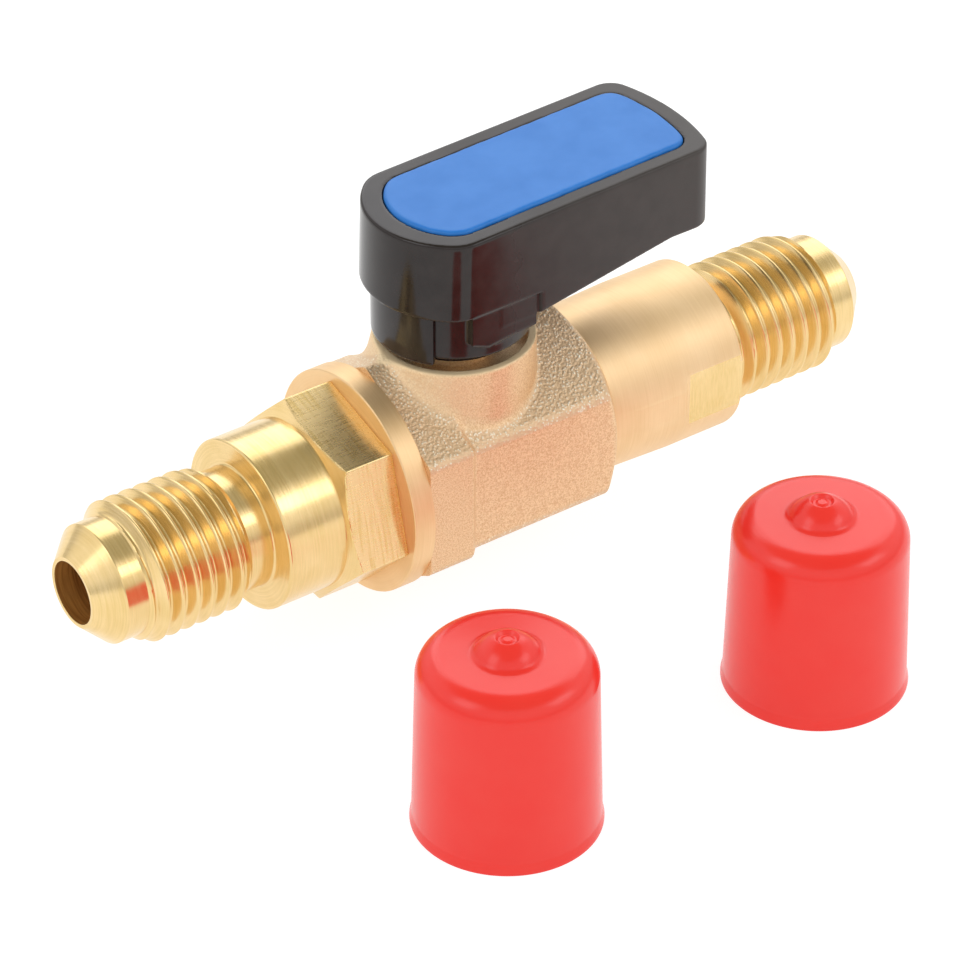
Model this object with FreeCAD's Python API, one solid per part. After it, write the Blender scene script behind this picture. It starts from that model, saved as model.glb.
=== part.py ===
import FreeCAD, Part
import math
import os

# A straight quarter inch flare ball valve with a moulded quarter turn lever and two dust caps.
# Millimetres. X runs along the flow, Z along the stem, and the origin is the centre of the ball.
# The valve is modelled open, with its lever along the flow.

# Clearances
RUNNING_GAP = 0.05
SEAT_GAP = 0.03
FACE_GAP = 0.05
MOULD_GAP = 0.10

# How far joined solids sink into each other, and how far cutters run past a face
JOIN = 0.5
PAST = 1.0

# Flow passage
BORE_DIA = 4.8

# Flare ends, the same on both sides
FLARE_LENGTH = 14.35
FLARE_THREAD_DIA = 11.0
FLARE_ROOT_DIA = 9.3
FLARE_NOSE_DIA = 9.15
FLARE_LIP_DIA = 5.45
FLARE_LAND = 1.75
FLARE_LEAD_IN = 0.7
NEAR_RELIEF = 2.0
FAR_RELIEF = 1.1

# Screwed end adapter
ADAPTER_SHOULDER_DIA = 13.24
ADAPTER_SHOULDER_LENGTH = 4.95
ADAPTER_EDGE_BREAK = 0.2
ADAPTER_HEX_AF = 14.0
ADAPTER_HEX_LENGTH = 4.6
ADAPTER_HEX_LEAD = 0.58
ADAPTER_HEX_TURN = -14.0
SPIGOT_DIA = 12.9
BODY_SEAL_CORD = 0.9
BODY_SEAL_SETBACK = 0.45

# Valve body
COLLAR_FACE = 9.75
COLLAR_DIA = 17.44
COLLAR_WIDTH = 1.8
COLLAR_EDGE = 0.15
END_BLOCK_AF = 16.2
END_BLOCK_CORNER = 0.8
END_BLOCK_REACH = 4.1
BODY_AF = 15.2
BODY_CORNER = 1.0
BODY_END = 9.5
BODY_END_SLOPE = 57.0
BARREL_DIA = 13.46
BARREL_END = 22.43
BARREL_EDGE = 0.2
WRENCH_AF = 12.7
WRENCH_LENGTH = 5.8
WRENCH_CUTTER_DIA = 1.6

# Ball chamber and seats
BALL_DIA = 9.5
SEAT_FACE = 3.0
SEAT_BACK = 5.2
SEAT_DIA = 10.4

# Stem, its pocket and its seals
STEM_DIA = 4.0
TANG_THICKNESS = 2.3
TANG_WIDTH = 4.2
TANG_FOOT = 3.35
STEM_HEAD_DIA = 5.5
STEM_HEAD_FLOOR = 4.95
STEM_HEAD_HEIGHT = 0.8
WASHER_THICKNESS = 0.4
STEM_RING_CORD = 0.8
STEM_RING_LOW = 7.2
STEM_RING_HIGH = 9.0
STEM_FLAT_AF = 3.0
STEM_FLAT_START = 10.6
STEM_TOP = 16.4
STEM_SHORTFALL = 0.2

# Neck that carries the stem
NECK_TOP = 9.5
NECK_DIA = 12.2
NECK_EDGE = 0.15
NECK_FOOT_DIA = 13.6
NECK_FOOT_SHIFT = -1.0
NECK_FOOT = 3.0
NECK_WELL_DIA = 10.9
NECK_WELL_FLOOR = 8.2
BOSS_DIA = 5.8
BOSS_TOP = 10.4

# Stop pin and the slot that it runs in
STOP_PIN_DIA = 0.9
STOP_PIN_PITCH_RADIUS = 3.55
STOP_PIN_ANGLE = 100.0
STOP_PIN_FOOT = 7.0
STOP_PIN_TOP = 10.9
STOP_SLOT_TOP = 11.3
STOP_PLAY = 1.0
LEVER_TRAVEL = 90.0

# Lever
LEVER_TOP = 21.03
LEVER_TOP_SLOPE = 1.64
LEVER_HUB_REACH = 6.67
LEVER_TIP_REACH = 20.0
LEVER_WIDTH = 12.3
LEVER_TIP_WIDTH = 12.34
LEVER_HUB_END_RADIUS = 7.25
LEVER_HUB_CORNER = 2.7
LEVER_TIP_END_RADIUS = 17.5
LEVER_TIP_CORNER = 1.85
LEVER_HUB_DRAFT = 0.25
LEVER_SIDE_DRAFT = 0.05
LEVER_EDGE = 0.25
LEVER_HUB_SKIRT_Z = 14.9
LEVER_ARM_START = 3.4
LEVER_ARM_LOW = 12.95
LEVER_ARM_HIGH = 14.95
LEVER_ARM_LEVEL = 15.4
LEVER_WALL = 1.6
LEVER_RIB = 1.4
LEVER_RIB_RISE = 0.5
LEVER_CROSS_RIB = 12.0
LEVER_ROOF = 1.6
HUB_DIA = 9.2
HUB_FOOT = 9.7
SKIRT_DIA = 12.3
SKIRT_WALL = 1.2
SKIRT_FOOT = 10.2
SKIRT_FROM = 90.0
SKIRT_TO = 220.0
PAD_LENGTH = 6.0
PAD_FOOT = 12.4
PAD_SETBACK = 0.2
SCREW_WELL_DIA = 6.4

# Coloured insert in the lever's top
INSERT_RIM = 1.4
INSERT_POCKET = 1.8
INSERT_PROUD = 0.2
INSERT_EDGE = 0.3
INSERT_PEG_DIA = 1.6
INSERT_PEG_LENGTH = 1.0
INSERT_PEG_PLACES = (7.5, 16.0)

# Lever screw and its washer
SCREW_DIA = 2.5
SCREW_LENGTH = 6.0
SCREW_HOLE_DEPTH = 5.6
SCREW_HEAD_DIA = 4.6
SCREW_HEAD_HEIGHT = 1.5
SCREW_SLOT = 0.6
SCREW_SLOT_DEPTH = 0.7
SCREW_WASHER_DIA = 5.4
SCREW_WASHER_THICKNESS = 0.5

# Dust caps, standing on the floor that the valve lies on
CAP_HEIGHT = 14.14
CAP_FOOT_DIA = 13.4
CAP_TOP_DIA = 12.8
CAP_LIP_DIA = 13.68
CAP_LIP_HEIGHT = 0.9
CAP_INSIDE_DIA = 11.2
CAP_ROOF = 1.3
CAP_ROUND = 1.88
CAP_NUB_DIA = 4.84
CAP_NUB_HEIGHT = 1.46
CAP_NUB_DIMPLE_DIA = 1.7
CAP_NUB_DIMPLE_DEPTH = 0.35
CAP_ROW_Y = -29.4
CAP_PLACES = {"dust_cap_left": -16.8, "dust_cap_right": 11.0}

# Places that follow from the sizes above
Vector = FreeCAD.Vector
X_AXIS = Vector(1, 0, 0)
Y_AXIS = Vector(0, 1, 0)
Z_AXIS = Vector(0, 0, 1)
BORE_R = BORE_DIA / 2
THREAD_R = FLARE_THREAD_DIA / 2
HEX_NEAR_X = -COLLAR_FACE - ADAPTER_HEX_LENGTH
SHOULDER_NEAR_X = HEX_NEAR_X - ADAPTER_SHOULDER_LENGTH
NEAR_FACE_X = SHOULDER_NEAR_X - FLARE_LENGTH
FAR_FACE_X = BARREL_END + FLARE_LENGTH
SPIGOT_END_X = -SEAT_BACK - FACE_GAP
SOCKET_R = SPIGOT_DIA / 2 + RUNNING_GAP
CHAMBER_R = SEAT_DIA / 2 + MOULD_GAP
CHAMBER_END_X = SEAT_BACK + FACE_GAP
HEAD_TOP = STEM_HEAD_FLOOR + STEM_HEAD_HEIGHT
POCKET_ROOF = HEAD_TOP + WASHER_THICKNESS + FACE_GAP
POCKET_R = STEM_HEAD_DIA / 2 + MOULD_GAP
STEM_BORE_R = STEM_DIA / 2 + RUNNING_GAP
INSERT_FLOOR = LEVER_TOP - INSERT_POCKET
LEVER_SEAT_Z = STEM_TOP + STEM_SHORTFALL
SCREW_SEAT_Z = LEVER_SEAT_Z + SCREW_WASHER_THICKNESS
FLOOR_Z = -((END_BLOCK_AF / 2 - END_BLOCK_CORNER) / math.sqrt(0.75) + END_BLOCK_CORNER)


def turned_x(profile):
    """Solid of revolution about the flow axis, from points of x and radius."""
    wire = Part.makePolygon([Vector(x, r, 0) for x, r in profile + profile[:1]])
    return Part.Face(wire).revolve(Vector(0, 0, 0), X_AXIS, 360)


def turned_z(profile, x=0.0, y=0.0):
    """Solid of revolution about an upright axis, from points of radius and height."""
    wire = Part.makePolygon([Vector(x + r, y, z) for r, z in profile + profile[:1]])
    return Part.Face(wire).revolve(Vector(x, y, 0), Z_AXIS, 360)


def rod_x(radius, x0, x1):
    return Part.makeCylinder(radius, x1 - x0, Vector(x0, 0, 0), X_AXIS)


def rod_z(radius, z0, z1, x=0.0, y=0.0):
    return Part.makeCylinder(radius, z1 - z0, Vector(x, y, z0), Z_AXIS)


def block(x0, x1, y0, y1, z0, z1):
    return Part.makeBox(x1 - x0, y1 - y0, z1 - z0, Vector(x0, y0, z0))


def cord_ring(radius, cord, centre, axis):
    """O-ring of a given mean radius and cord diameter."""
    return Part.makeTorus(radius, cord / 2, centre, axis)


def arc_between(start, middle, end):
    return Part.Arc(start, middle, end).toShape()


def hex_bar(across_flats, x0, x1, corner=0.0, turn=0.0):
    """Hexagonal bar along X with flats facing the sides and rounded long edges."""
    corner_r = across_flats / math.sqrt(3)
    points = []
    for k in range(7):
        angle = math.radians(90 + turn + 60 * k)
        points.append(Vector(x0, corner_r * math.cos(angle), corner_r * math.sin(angle)))
    bar = Part.Face(Part.makePolygon(points)).extrude(Vector(x1 - x0, 0, 0))
    if corner:
        long_edges = [e for e in bar.Edges if abs(e.Length - (x1 - x0)) < 1e-6
                      and abs(e.tangentAt(e.FirstParameter).x) > 0.99]
        bar = bar.makeFillet(corner, long_edges)
    return bar


def flare_profile(face_x, shoulder_x, relief, root_r):
    """Outer points of a flare end, from its lip to the shoulder that it grows from."""
    out = 1 if shoulder_x > face_x else -1
    lip_r = FLARE_LIP_DIA / 2
    nose_r = FLARE_NOSE_DIA / 2
    cone_x = face_x + out * (nose_r - lip_r)
    land_x = cone_x + out * FLARE_LAND
    thread_x = land_x + out * FLARE_LEAD_IN
    relief_x = shoulder_x - out * relief
    run_out_x = relief_x - out * (THREAD_R - root_r)
    return [(face_x, lip_r), (cone_x, nose_r), (land_x, nose_r), (thread_x, THREAD_R),
            (run_out_x, THREAD_R), (relief_x, root_r), (shoulder_x, root_r)]


def make_end_adapter():
    """Turned from hexagon bar: flare, shoulder, wrench hexagon and spigot in one piece."""
    shoulder_r = ADAPTER_SHOULDER_DIA / 2
    spigot_r = SPIGOT_DIA / 2
    flare = flare_profile(NEAR_FACE_X, SHOULDER_NEAR_X, NEAR_RELIEF, FLARE_ROOT_DIA / 2)
    outline = [(NEAR_FACE_X, BORE_R)] + flare + [
        (SHOULDER_NEAR_X, shoulder_r - ADAPTER_EDGE_BREAK),
        (SHOULDER_NEAR_X + ADAPTER_EDGE_BREAK, shoulder_r),
        (HEX_NEAR_X, shoulder_r), (HEX_NEAR_X, BORE_R)]
    turned_end = turned_x(outline)

    hexagon = hex_bar(ADAPTER_HEX_AF, HEX_NEAR_X, -COLLAR_FACE, turn=ADAPTER_HEX_TURN)
    corner_r = ADAPTER_HEX_AF / math.sqrt(3)
    lead_end = HEX_NEAR_X + ADAPTER_HEX_LEAD
    envelope = turned_x([(HEX_NEAR_X, 0), (HEX_NEAR_X, shoulder_r), (lead_end, corner_r),
                         (-COLLAR_FACE, corner_r), (-COLLAR_FACE, 0)])
    hexagon = hexagon.common(envelope)

    spigot = rod_x(spigot_r, -COLLAR_FACE, SPIGOT_END_X)
    groove_x = -COLLAR_FACE + BODY_SEAL_SETBACK
    groove_end = groove_x + BODY_SEAL_CORD + 2 * MOULD_GAP
    groove_floor = spigot_r - BODY_SEAL_CORD
    groove = rod_x(spigot_r + PAST, groove_x, groove_end).cut(rod_x(groove_floor, groove_x, groove_end))
    spigot = spigot.cut(groove)
    solid = turned_end.fuse([hexagon, spigot])
    return solid.cut(rod_x(BORE_R, NEAR_FACE_X - PAST, SPIGOT_END_X + PAST)).removeSplitter()


def make_body_seal():
    """O-ring in the groove at the root of the adapter's spigot."""
    centre_x = -COLLAR_FACE + BODY_SEAL_SETBACK + BODY_SEAL_CORD / 2 + MOULD_GAP
    return cord_ring(SPIGOT_DIA / 2 - BODY_SEAL_CORD / 2, BODY_SEAL_CORD, Vector(centre_x, 0, 0), X_AXIS)


def body_envelope():
    """Turned limits of the hexagon blank: collar, block ends and the sloped shoulder."""
    collar_r = COLLAR_DIA / 2
    collar_back = -COLLAR_FACE + COLLAR_WIDTH
    barrel_r = BARREL_DIA / 2
    slope = math.tan(math.radians(BODY_END_SLOPE))
    shoulder_x = BODY_END + (BODY_AF / 2 - barrel_r) / slope
    wide_r = END_BLOCK_AF
    wide_x = BODY_END - (wide_r - BODY_AF / 2) / slope
    return turned_x([(-COLLAR_FACE, 0), (-COLLAR_FACE, collar_r - COLLAR_EDGE),
                     (-COLLAR_FACE + COLLAR_EDGE, collar_r), (collar_back, collar_r),
                     (collar_back, wide_r), (wide_x, wide_r), (shoulder_x, barrel_r),
                     (shoulder_x, 0)]), shoulder_x


def wrench_flats():
    """Two side cutters that leave flats on the barrel, with the cutter's round run in."""
    flat = WRENCH_AF / 2
    reach = BARREL_DIA
    start = BARREL_END - WRENCH_LENGTH
    pieces = []
    for side in (-1, 1):
        y0, y1 = sorted((side * flat, side * reach))
        slab = block(start + WRENCH_CUTTER_DIA / 2, BARREL_END + PAST, y0, y1, -reach, reach)
        centre = Vector(start + WRENCH_CUTTER_DIA / 2, side * (flat + WRENCH_CUTTER_DIA / 2), -reach)
        nose = Part.makeCylinder(WRENCH_CUTTER_DIA / 2, 2 * reach, centre, Z_AXIS)
        pieces += [slab, nose]
    return pieces[0].fuse(pieces[1:])


def level_circle(radius, z, x=0.0):
    return Part.Wire(Part.makeCircle(radius, Vector(x, 0, z)))


def neck_casting():
    """Neck that carries the stem, whose cast foot spreads towards the adapter."""
    rim_r = NECK_DIA / 2
    sections = [level_circle(NECK_FOOT_DIA / 2, NECK_FOOT, NECK_FOOT_SHIFT),
                level_circle(rim_r, NECK_TOP - NECK_EDGE),
                level_circle(rim_r - NECK_EDGE, NECK_TOP)]
    return Part.makeLoft(sections, True, True)


def make_valve_body():
    """Cast and turned body: collar, hexagonal blocks, neck, barrel and far flare in one piece."""
    envelope, shoulder_x = body_envelope()
    collar_back = -COLLAR_FACE + COLLAR_WIDTH
    end_block = hex_bar(END_BLOCK_AF, collar_back, -END_BLOCK_REACH, END_BLOCK_CORNER)
    mid_block = hex_bar(BODY_AF, -END_BLOCK_REACH, shoulder_x, BODY_CORNER)
    collar = rod_x(COLLAR_DIA / 2, -COLLAR_FACE, collar_back)
    blocks = end_block.fuse([mid_block, collar]).common(envelope)

    barrel_r = BARREL_DIA / 2
    flare = flare_profile(FAR_FACE_X, BARREL_END, FAR_RELIEF, FLARE_ROOT_DIA / 2)
    outline = [(CHAMBER_END_X, 0), (CHAMBER_END_X, barrel_r), (BARREL_END - BARREL_EDGE, barrel_r),
               (BARREL_END, barrel_r - BARREL_EDGE)] + flare[::-1] + [(FAR_FACE_X, 0)]
    barrel = turned_x(outline).cut(wrench_flats())

    neck = neck_casting()
    well = rod_z(NECK_WELL_DIA / 2, NECK_WELL_FLOOR, NECK_TOP + PAST)
    boss = rod_z(BOSS_DIA / 2, NECK_WELL_FLOOR, BOSS_TOP)
    solid = blocks.fuse([barrel, neck]).cut(well).fuse(boss)

    socket = rod_x(SOCKET_R, -COLLAR_FACE - PAST, -SEAT_BACK)
    chamber = rod_x(CHAMBER_R, -SEAT_BACK - JOIN, CHAMBER_END_X)
    passage = rod_x(BORE_R, CHAMBER_END_X - JOIN, FAR_FACE_X + PAST)
    pocket = rod_z(POCKET_R, 0, POCKET_ROOF)
    stem_bore = rod_z(STEM_BORE_R, POCKET_ROOF - JOIN, BOSS_TOP + PAST)
    pin_hole = stop_pin_rod(STOP_PIN_FOOT, NECK_WELL_FLOOR + PAST)
    return solid.cut([socket, chamber, passage, pocket, stem_bore, pin_hole]).removeSplitter()


def stop_pin_rod(z0, z1):
    angle = math.radians(STOP_PIN_ANGLE)
    x = STOP_PIN_PITCH_RADIUS * math.cos(angle)
    y = STOP_PIN_PITCH_RADIUS * math.sin(angle)
    return rod_z(STOP_PIN_DIA / 2, z0, z1, x, y)


def make_stop_pin():
    """Steel pin pressed into the floor of the neck, which ends the lever's travel."""
    return stop_pin_rod(STOP_PIN_FOOT, STOP_PIN_TOP)


def make_seat(side):
    """PTFE seat ring, dished to the ball."""
    x0, x1 = sorted((side * SEAT_FACE, side * SEAT_BACK))
    ring = rod_x(SEAT_DIA / 2, x0, x1).cut(rod_x(BORE_R, x0 - PAST, x1 + PAST))
    return ring.cut(Part.makeSphere(BALL_DIA / 2 + SEAT_GAP))


def make_ball():
    """Bored ball with the slot across its top that the stem's tang turns."""
    ball = Part.makeSphere(BALL_DIA / 2)
    half_slot = TANG_THICKNESS / 2 + FACE_GAP
    slot_floor = TANG_FOOT - MOULD_GAP
    slot = block(-half_slot, half_slot, -BALL_DIA, BALL_DIA, slot_floor, BALL_DIA)
    return ball.cut([rod_x(BORE_R, -BALL_DIA, BALL_DIA), slot])


def make_stem():
    """Blow-out proof stem: tang, head, grooved shank and flats for the lever."""
    radius = STEM_DIA / 2
    tang = block(-TANG_THICKNESS / 2, TANG_THICKNESS / 2, -TANG_WIDTH / 2, TANG_WIDTH / 2,
                 TANG_FOOT, STEM_HEAD_FLOOR + JOIN)
    head = rod_z(STEM_HEAD_DIA / 2, STEM_HEAD_FLOOR, HEAD_TOP)
    shank = rod_z(radius, HEAD_TOP - JOIN, STEM_TOP)
    stem = tang.fuse([head, shank])
    half_flat = STEM_FLAT_AF / 2
    for side in (-1, 1):
        y0, y1 = sorted((side * half_flat, side * STEM_DIA))
        stem = stem.cut(block(-STEM_DIA, STEM_DIA, y0, y1, STEM_FLAT_START, STEM_TOP + PAST))
    for height in (STEM_RING_LOW, STEM_RING_HIGH):
        half = STEM_RING_CORD / 2 + MOULD_GAP
        band = rod_z(radius + PAST, height - half, height + half)
        stem = stem.cut(band.cut(rod_z(radius - STEM_RING_CORD, height - half, height + half)))
    screw_hole = rod_z(SCREW_DIA / 2 + RUNNING_GAP, STEM_TOP - SCREW_HOLE_DEPTH, STEM_TOP + PAST)
    return stem.cut(screw_hole).removeSplitter()


def make_thrust_washer():
    """PTFE washer between the stem's head and the roof of its pocket."""
    z0 = HEAD_TOP
    z1 = z0 + WASHER_THICKNESS
    return rod_z(STEM_HEAD_DIA / 2, z0, z1).cut(rod_z(STEM_BORE_R, z0 - PAST, z1 + PAST))


def make_stem_ring(height):
    """O-ring in one of the stem's grooves."""
    return cord_ring(STEM_DIA / 2 - STEM_RING_CORD / 2, STEM_RING_CORD, Vector(0, 0, height), Z_AXIS)


def end_corner(reach, end_radius, half_width, corner, side):
    """Points of one rounded corner of the lever's plan at one end, on the positive side."""
    end_centre_x = reach - side * end_radius
    across = half_width - corner
    along = math.sqrt((end_radius - corner) ** 2 - across ** 2)
    corner_x = end_centre_x + side * along
    bend = math.atan2(across, along)
    on_end = (end_centre_x + side * end_radius * math.cos(bend), end_radius * math.sin(bend))
    middle = (bend + math.pi / 2) / 2
    on_middle = (corner_x + side * corner * math.cos(middle), across + corner * math.sin(middle))
    return on_end, on_middle, (corner_x, half_width)


def lever_plan(z, inset=0.0, hub_draft=0.0):
    """Closed outline of the lever seen from above, drawn in by an inset."""
    hub_reach = -(LEVER_HUB_REACH - inset + hub_draft)
    tip_reach = LEVER_TIP_REACH - inset
    hub = end_corner(hub_reach, LEVER_HUB_END_RADIUS - inset, LEVER_WIDTH / 2 - inset,
                     max(LEVER_HUB_CORNER - inset, 0.3), -1)
    tip = end_corner(tip_reach, LEVER_TIP_END_RADIUS - inset, LEVER_TIP_WIDTH / 2 - inset,
                     max(LEVER_TIP_CORNER - inset, 0.3), 1)

    def at(point, side=1):
        return Vector(point[0], side * point[1], z)

    edges = [arc_between(at(hub[0], -1), Vector(hub_reach, 0, z), at(hub[0])),
             arc_between(at(hub[0]), at(hub[1]), at(hub[2])),
             Part.makeLine(at(hub[2]), at(tip[2])),
             arc_between(at(tip[2]), at(tip[1]), at(tip[0])),
             arc_between(at(tip[0]), Vector(tip_reach, 0, z), at(tip[0], -1)),
             arc_between(at(tip[0], -1), at(tip[1], -1), at(tip[2], -1)),
             Part.makeLine(at(tip[2], -1), at(hub[2], -1)),
             arc_between(at(hub[2], -1), at(hub[1], -1), at(hub[0], -1))]
    return Part.Wire(edges)


def plan_prism(z0, z1, inset=0.0):
    return Part.Face(lever_plan(z0, inset)).extrude(Vector(0, 0, z1 - z0))


def sloped(shape):
    """Tips a shape made level with the lever's top, so that the top rises towards the tip."""
    shape.rotate(Vector(0, 0, LEVER_TOP), Y_AXIS, -LEVER_TOP_SLOPE)
    return shape


def above_top(depth):
    """Everything above a plane that lies a depth below the lever's sloped top."""
    reach = 2 * LEVER_TIP_REACH
    return sloped(block(-reach, reach, -reach, reach, LEVER_TOP - depth, LEVER_TOP + reach))


def arm_underside(shift=0.0):
    """Everything below the lever's sloped arm and level hub end, as one cutting prism."""
    reach = 2 * LEVER_TIP_REACH
    slope_x = LEVER_ARM_START
    points = [(-reach, 0), (-reach, LEVER_HUB_SKIRT_Z), (slope_x, LEVER_HUB_SKIRT_Z),
              (slope_x, LEVER_ARM_LOW + shift), (LEVER_ARM_LEVEL, LEVER_ARM_HIGH + shift),
              (reach, LEVER_ARM_HIGH + shift), (reach, 0), (-reach, 0)]
    wire = Part.makePolygon([Vector(x, -reach, z) for x, z in points])
    return Part.Face(wire).extrude(Vector(0, 2 * reach, 0))


def arc_wall(inner_r, outer_r, z0, z1, start_deg, sweep_deg):
    """Part of an upright tube, between two angles."""
    points = [(inner_r, z0), (outer_r, z0), (outer_r, z1), (inner_r, z1), (inner_r, z0)]
    face = Part.Face(Part.makePolygon([Vector(r, 0, z) for r, z in points]))
    wall = face.revolve(Vector(0, 0, 0), Z_AXIS, sweep_deg)
    wall.rotate(Vector(0, 0, 0), Z_AXIS, start_deg)
    return wall


def lever_shell():
    """The lever's drafted outside with its broken top edge, cut to its underside."""
    low = lever_plan(LEVER_ARM_LOW - PAST, -LEVER_SIDE_DRAFT, LEVER_HUB_DRAFT)
    high = sloped(lever_plan(LEVER_TOP - LEVER_EDGE))
    crown = sloped(lever_plan(LEVER_TOP, LEVER_EDGE))
    wall = Part.makeLoft([low, high], True, True)
    cap = Part.makeLoft([high, crown], True, True)
    return wall.fuse(cap).cut(arm_underside())


def arm_pockets():
    """Moulded hollows under the arm, either side of its long rib and its cross rib."""
    lowest = LEVER_ARM_LOW - PAST
    hollow = plan_prism(lowest, LEVER_TOP, LEVER_WALL).cut(above_top(INSERT_POCKET + LEVER_ROOF))
    hollow = hollow.common(block(LEVER_ARM_START + LEVER_WALL, LEVER_TIP_REACH, -LEVER_WIDTH, LEVER_WIDTH,
                                 lowest, LEVER_TOP))
    half = LEVER_RIB / 2
    long_rib = block(0, LEVER_TIP_REACH, -half, half, lowest, LEVER_TOP)
    cross_rib = block(LEVER_CROSS_RIB - half, LEVER_CROSS_RIB + half, -LEVER_WIDTH, LEVER_WIDTH,
                      lowest, LEVER_TOP)
    ribs = long_rib.fuse(cross_rib).cut(arm_underside(LEVER_RIB_RISE))
    return hollow.cut(ribs)


def stem_socket():
    """Hole through the hub that fits the stem's flats, with the round shank's hole below."""
    flats_from = STEM_FLAT_START + FACE_GAP
    half = STEM_FLAT_AF / 2 + FACE_GAP
    round_hole = rod_z(STEM_BORE_R, HUB_FOOT - PAST, flats_from)
    flat_hole = rod_z(STEM_BORE_R, flats_from - JOIN, LEVER_SEAT_Z + JOIN)
    flat_hole = flat_hole.common(block(-STEM_DIA, STEM_DIA, -half, half, HUB_FOOT, LEVER_TOP))
    return round_hole.fuse(flat_hole)


def make_lever():
    """Moulded lever: drafted shell, hub, stop skirt, side pads, ribs and insert pocket."""
    shell = lever_shell().cut(arm_pockets())
    joined_to = LEVER_HUB_SKIRT_Z + JOIN
    hub = rod_z(HUB_DIA / 2, HUB_FOOT, joined_to)
    skirt_r = SKIRT_DIA / 2
    skirt = arc_wall(skirt_r - SKIRT_WALL - JOIN, skirt_r, SKIRT_FOOT, joined_to,
                     SKIRT_FROM, SKIRT_TO - SKIRT_FROM)
    half_pad = PAD_LENGTH / 2
    pad_y = LEVER_WIDTH / 2 - PAD_SETBACK
    pads = [block(-half_pad, half_pad, min(side * pad_y, side), max(side * pad_y, side),
                  PAD_FOOT, joined_to) for side in (-1, 1)]
    root_y = LEVER_WIDTH / 2 - PAD_SETBACK - LEVER_WALL / 2
    arm_root = block(0, LEVER_ARM_START + JOIN, -root_y, root_y, LEVER_ARM_LOW, joined_to)
    solid = shell.fuse([hub, skirt, arm_root] + pads)

    boss_room = rod_z(BOSS_DIA / 2 + MOULD_GAP, HUB_FOOT - PAST, BOSS_TOP + MOULD_GAP)
    insert_pocket = sloped(plan_prism(INSERT_FLOOR, LEVER_TOP + PAST, INSERT_RIM))
    screw_well = rod_z(SCREW_WELL_DIA / 2, LEVER_SEAT_Z, INSERT_FLOOR + JOIN)
    peg_holes = [sloped(rod_z(INSERT_PEG_DIA / 2 + FACE_GAP, INSERT_FLOOR - INSERT_PEG_LENGTH - MOULD_GAP,
                              INSERT_FLOOR + JOIN, x)) for x in INSERT_PEG_PLACES]
    solid = solid.cut([boss_room, insert_pocket, screw_well, stem_socket(), stop_slot()] + peg_holes)
    return solid.removeSplitter()


def stop_slot():
    """Arc slot in the hub's foot: its two ends meet the stop pin at open and at closed."""
    play = math.degrees(math.asin((STOP_PIN_DIA / 2) / STOP_PIN_PITCH_RADIUS)) + STOP_PLAY
    half = STOP_PIN_DIA / 2 + MOULD_GAP
    return arc_wall(STOP_PIN_PITCH_RADIUS - half, STOP_PIN_PITCH_RADIUS + half, HUB_FOOT - PAST,
                    STOP_SLOT_TOP, STOP_PIN_ANGLE - play, LEVER_TRAVEL + 2 * play)


def make_lever_insert():
    """Coloured plate with a broken edge and two pegs, seated in the lever's pocket."""
    inset = INSERT_RIM + FACE_GAP
    top = LEVER_TOP + INSERT_PROUD
    plate = plan_prism(INSERT_FLOOR, top - INSERT_EDGE, inset)
    crown = Part.makeLoft([lever_plan(top - INSERT_EDGE, inset), lever_plan(top, inset + INSERT_EDGE)],
                          True, True)
    pegs = [rod_z(INSERT_PEG_DIA / 2, INSERT_FLOOR - INSERT_PEG_LENGTH, INSERT_FLOOR + JOIN, x)
            for x in INSERT_PEG_PLACES]
    return sloped(plate.fuse([crown] + pegs).removeSplitter())


def make_screw_washer():
    z0 = LEVER_SEAT_Z
    z1 = z0 + SCREW_WASHER_THICKNESS
    return rod_z(SCREW_WASHER_DIA / 2, z0, z1).cut(rod_z(SCREW_DIA / 2 + MOULD_GAP, z0 - PAST, z1 + PAST))


def make_lever_screw():
    """Slotted cheese head screw that holds the lever on the stem."""
    head_top = SCREW_SEAT_Z + SCREW_HEAD_HEIGHT
    head = rod_z(SCREW_HEAD_DIA / 2, SCREW_SEAT_Z, head_top)
    shank = rod_z(SCREW_DIA / 2, SCREW_SEAT_Z - SCREW_LENGTH, SCREW_SEAT_Z + JOIN)
    slot = block(-SCREW_HEAD_DIA, SCREW_HEAD_DIA, -SCREW_SLOT / 2, SCREW_SLOT / 2,
                 head_top - SCREW_SLOT_DEPTH, head_top + PAST)
    return head.fuse(shank).cut(slot).removeSplitter()


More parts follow.
